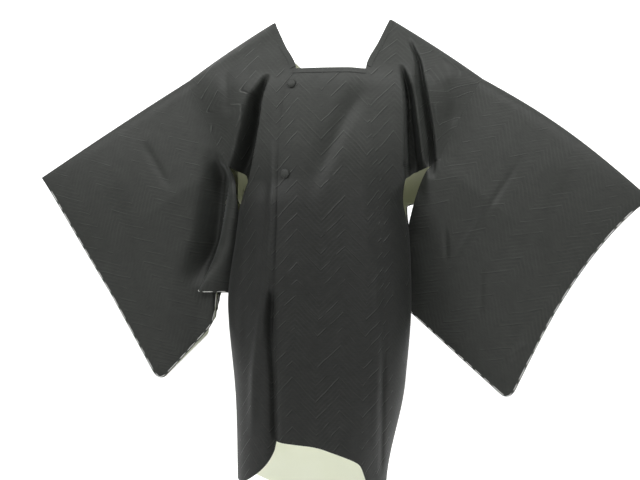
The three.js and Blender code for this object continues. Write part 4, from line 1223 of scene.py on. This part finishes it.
def lining_back():
    """The lining that shows inside the back, from the top of the side seams down to the hem."""
    halves = {}
    for side in (LEFT, RIGHT):
        grid, normals, uv, shoulder = panels[side["name"]]
        start = shoulder + OPEN_END * FINE
        end = len(grid) - round(LINING_HEM_SHARE * FINE)
        stop = np.searchsorted(shares(ACROSS), LINING_SHARE) + 1
        halves[side["name"]] = (grid[start:end, :stop], normals[start:end, :stop], uv[start:end, :stop])
    join = lambda k: np.concatenate([halves["right"][k][:, 1:][:, ::-1], halves["left"][k]], axis=1)
    grid, normals, uv = join(0), join(1), join(2)
    rise = WALL / 2 + BAND_CLEARANCE + LINING_WALL / 2
    piece = wall("lining_back_cloth", grid - normals * rise, normals, LINING_WALL, uv, lining)
    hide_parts("lining_back")


lining_back()

# ---------- buttons ----------

BUTTONS = (
    {"node": "button_upper", "from_edge": 9, "height": -146},
    {"node": "button_lower", "from_edge": 16, "height": -322},
)
BUTTON_PROFILE = np.array((
    (0.0, 0.0), (0.62, 0.0), (0.9, 0.1), (1.0, 0.32), (0.96, 0.55), (0.8, 0.8), (0.5, 0.96), (0.0, 1.0),
))
BUTTON_RINGS, BUTTON_TURNS, BUTTON_GATHERS, GATHER_DEPTH = 36, 64, 15, 0.012


def button(node, from_edge, height):
    """A covered dome that is seated on the left overlap and turned to its slope."""
    x = float(flap_edge_x(height)) + from_edge
    at = lambda dx, dz: np.array([x + dx, float(plain_y("front", x + dx, height + dz)), height + dz])
    normal = unit(np.cross(at(1, 0) - at(-1, 0), at(0, -1) - at(0, 1)))
    if normal[1] > 0:
        normal = -normal
    seat = at(0, 0) + normal * (LAYER + WALL / 2 + SEAM)
    corners = range(len(BUTTON_PROFILE))
    t = np.linspace(0, len(BUTTON_PROFILE) - 1, BUTTON_RINGS)
    out, up = np.interp(t, corners, BUTTON_PROFILE[:, 0]), np.interp(t, corners, BUTTON_PROFILE[:, 1])
    for _ in range(2):
        out[1:-1] = (out[:-2] + 2 * out[1:-1] + out[2:]) / 4
        up[1:-1] = (up[:-2] + 2 * up[1:-1] + up[2:]) / 4
    angle = np.linspace(0, 2 * np.pi, BUTTON_TURNS, endpoint=False)
    gathers = 1 + GATHER_DEPTH * np.sin(BUTTON_GATHERS * angle)[None, :] * smooth(0.55, 0.95, out)[:, None]
    ring = out[:, None] * gathers * BUTTON_RADIUS
    rise = up[:, None] * BUTTON_HEIGHT + 0 * ring
    local = np.stack([ring * np.cos(angle), ring * np.sin(angle), rise], axis=-1)
    turn = Vector((0, 0, 1)).rotation_difference(Vector(normal))
    matrix = np.array(turn.to_matrix())
    points = (local.reshape(-1, 3) @ matrix.T) + seat
    faces = ring_faces(BUTTON_RINGS, BUTTON_TURNS)
    uv = local.reshape(-1, 3)[:, :2]
    piece = make_mesh(f"covered_{node}", points, faces, uv, np.zeros(len(faces)), [button_silk])
    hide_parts(node)


for row in BUTTONS:
    button(**row)

# ---------- light and stage ----------


FLOOR_Z, WALL_TOP, STAGE_FRONT, BACK_Y, STAGE_HALF = -1.40, 1.6, -3.5, 0.42, 3.2
CURVE, CURVE_STEPS = 0.35, 12
FLOOR_GLOW, WALL_GLOW, WALL_GLOW_HEIGHT = 0.5, 0.62, -1.1
WORLD_STRENGTH = 0.13


def stage_material():
    """Pale paper that shines a little, as a backdrop lit by its own lamps does, and clear from behind."""
    g = Graph("backdrop_paper")
    cloud = g.noise(g.part_place(), 1.5, 1.0)
    colour = g.mix(cloud, (0.90, 0.91, 0.90, 1.0), (0.93, 0.935, 0.93, 1.0))
    glow = g.map_range(g.height(), FLOOR_Z, WALL_GLOW_HEIGHT, FLOOR_GLOW, WALL_GLOW)
    g.surface(
        colour, g.map_range(cloud, 0, 1, 0.8, 0.9), Specular_IOR_Level=0.1,
        Emission_Color=(1.0, 1.0, 0.99, 1.0), Emission_Strength=glow,
    )
    surface = g.output.inputs["Surface"]
    behind = g.node("ShaderNodeNewGeometry", {}, "Backfacing")
    clear = g.node("ShaderNodeBsdfTransparent", {})
    g.put(surface, g.node("ShaderNodeMixShader", {0: behind, 1: surface.links[0].from_socket, 2: clear}))
    return g.material


profile = [(STAGE_FRONT, FLOOR_Z), (BACK_Y - CURVE, FLOOR_Z)]
for k in range(1, CURVE_STEPS + 1):
    turn = math.pi / 2 * k / CURVE_STEPS
    profile.append((BACK_Y - CURVE + CURVE * math.sin(turn), FLOOR_Z + CURVE * (1 - math.cos(turn))))
profile.append((BACK_Y, WALL_TOP))
points = [(x, y, z) for y, z in profile for x in (-STAGE_HALF, STAGE_HALF)]
faces = [(2 * k, 2 * k + 1, 2 * k + 3, 2 * k + 2) for k in range(len(profile) - 1)]
sweep = bpy.data.meshes.new("backdrop")
sweep.from_pydata(points, [], faces)
sweep.polygons.foreach_set("use_smooth", [True] * len(faces))
sweep.materials.append(stage_material())
backdrop = bpy.data.objects.new("backdrop", sweep)
bpy.context.scene.collection.objects.link(backdrop)


def soft_light(name, place, aim, width, height, power):
    """A rectangular lamp that the camera doesn't see."""
    data = bpy.data.lights.new(name, "AREA")
    data.shape = "RECTANGLE"
    data.size, data.size_y, data.energy = width, height, power
    light = bpy.data.objects.new(name, data)
    light.location = place
    light.rotation_mode = "QUATERNION"
    light.rotation_quaternion = (Vector(aim) - Vector(place)).to_track_quat("-Z", "Y")
    light.visible_camera = False
    bpy.context.scene.collection.objects.link(light)


soft_light("key_left", (-1.25, -1.0, 0.70), (-0.35, 0, -0.35), 0.9, 0.7, 22)
soft_light("key_right", (1.3, -1.0, 0.65), (0.35, 0, -0.35), 0.9, 0.7, 20)
soft_light("top", (0.1, -0.80, 0.60), (0, -0.12, -0.2), 0.9, 0.4, 11)

world = bpy.data.worlds.new("studio")
world.use_nodes = True
background = world.node_tree.nodes["Background"]
background.inputs["Color"].default_value = (1.0, 1.0, 1.0, 1.0)
background.inputs["Strength"].default_value = WORLD_STRENGTH
bpy.context.scene.world = world
bpy.context.scene.view_settings.view_transform = "Standard"
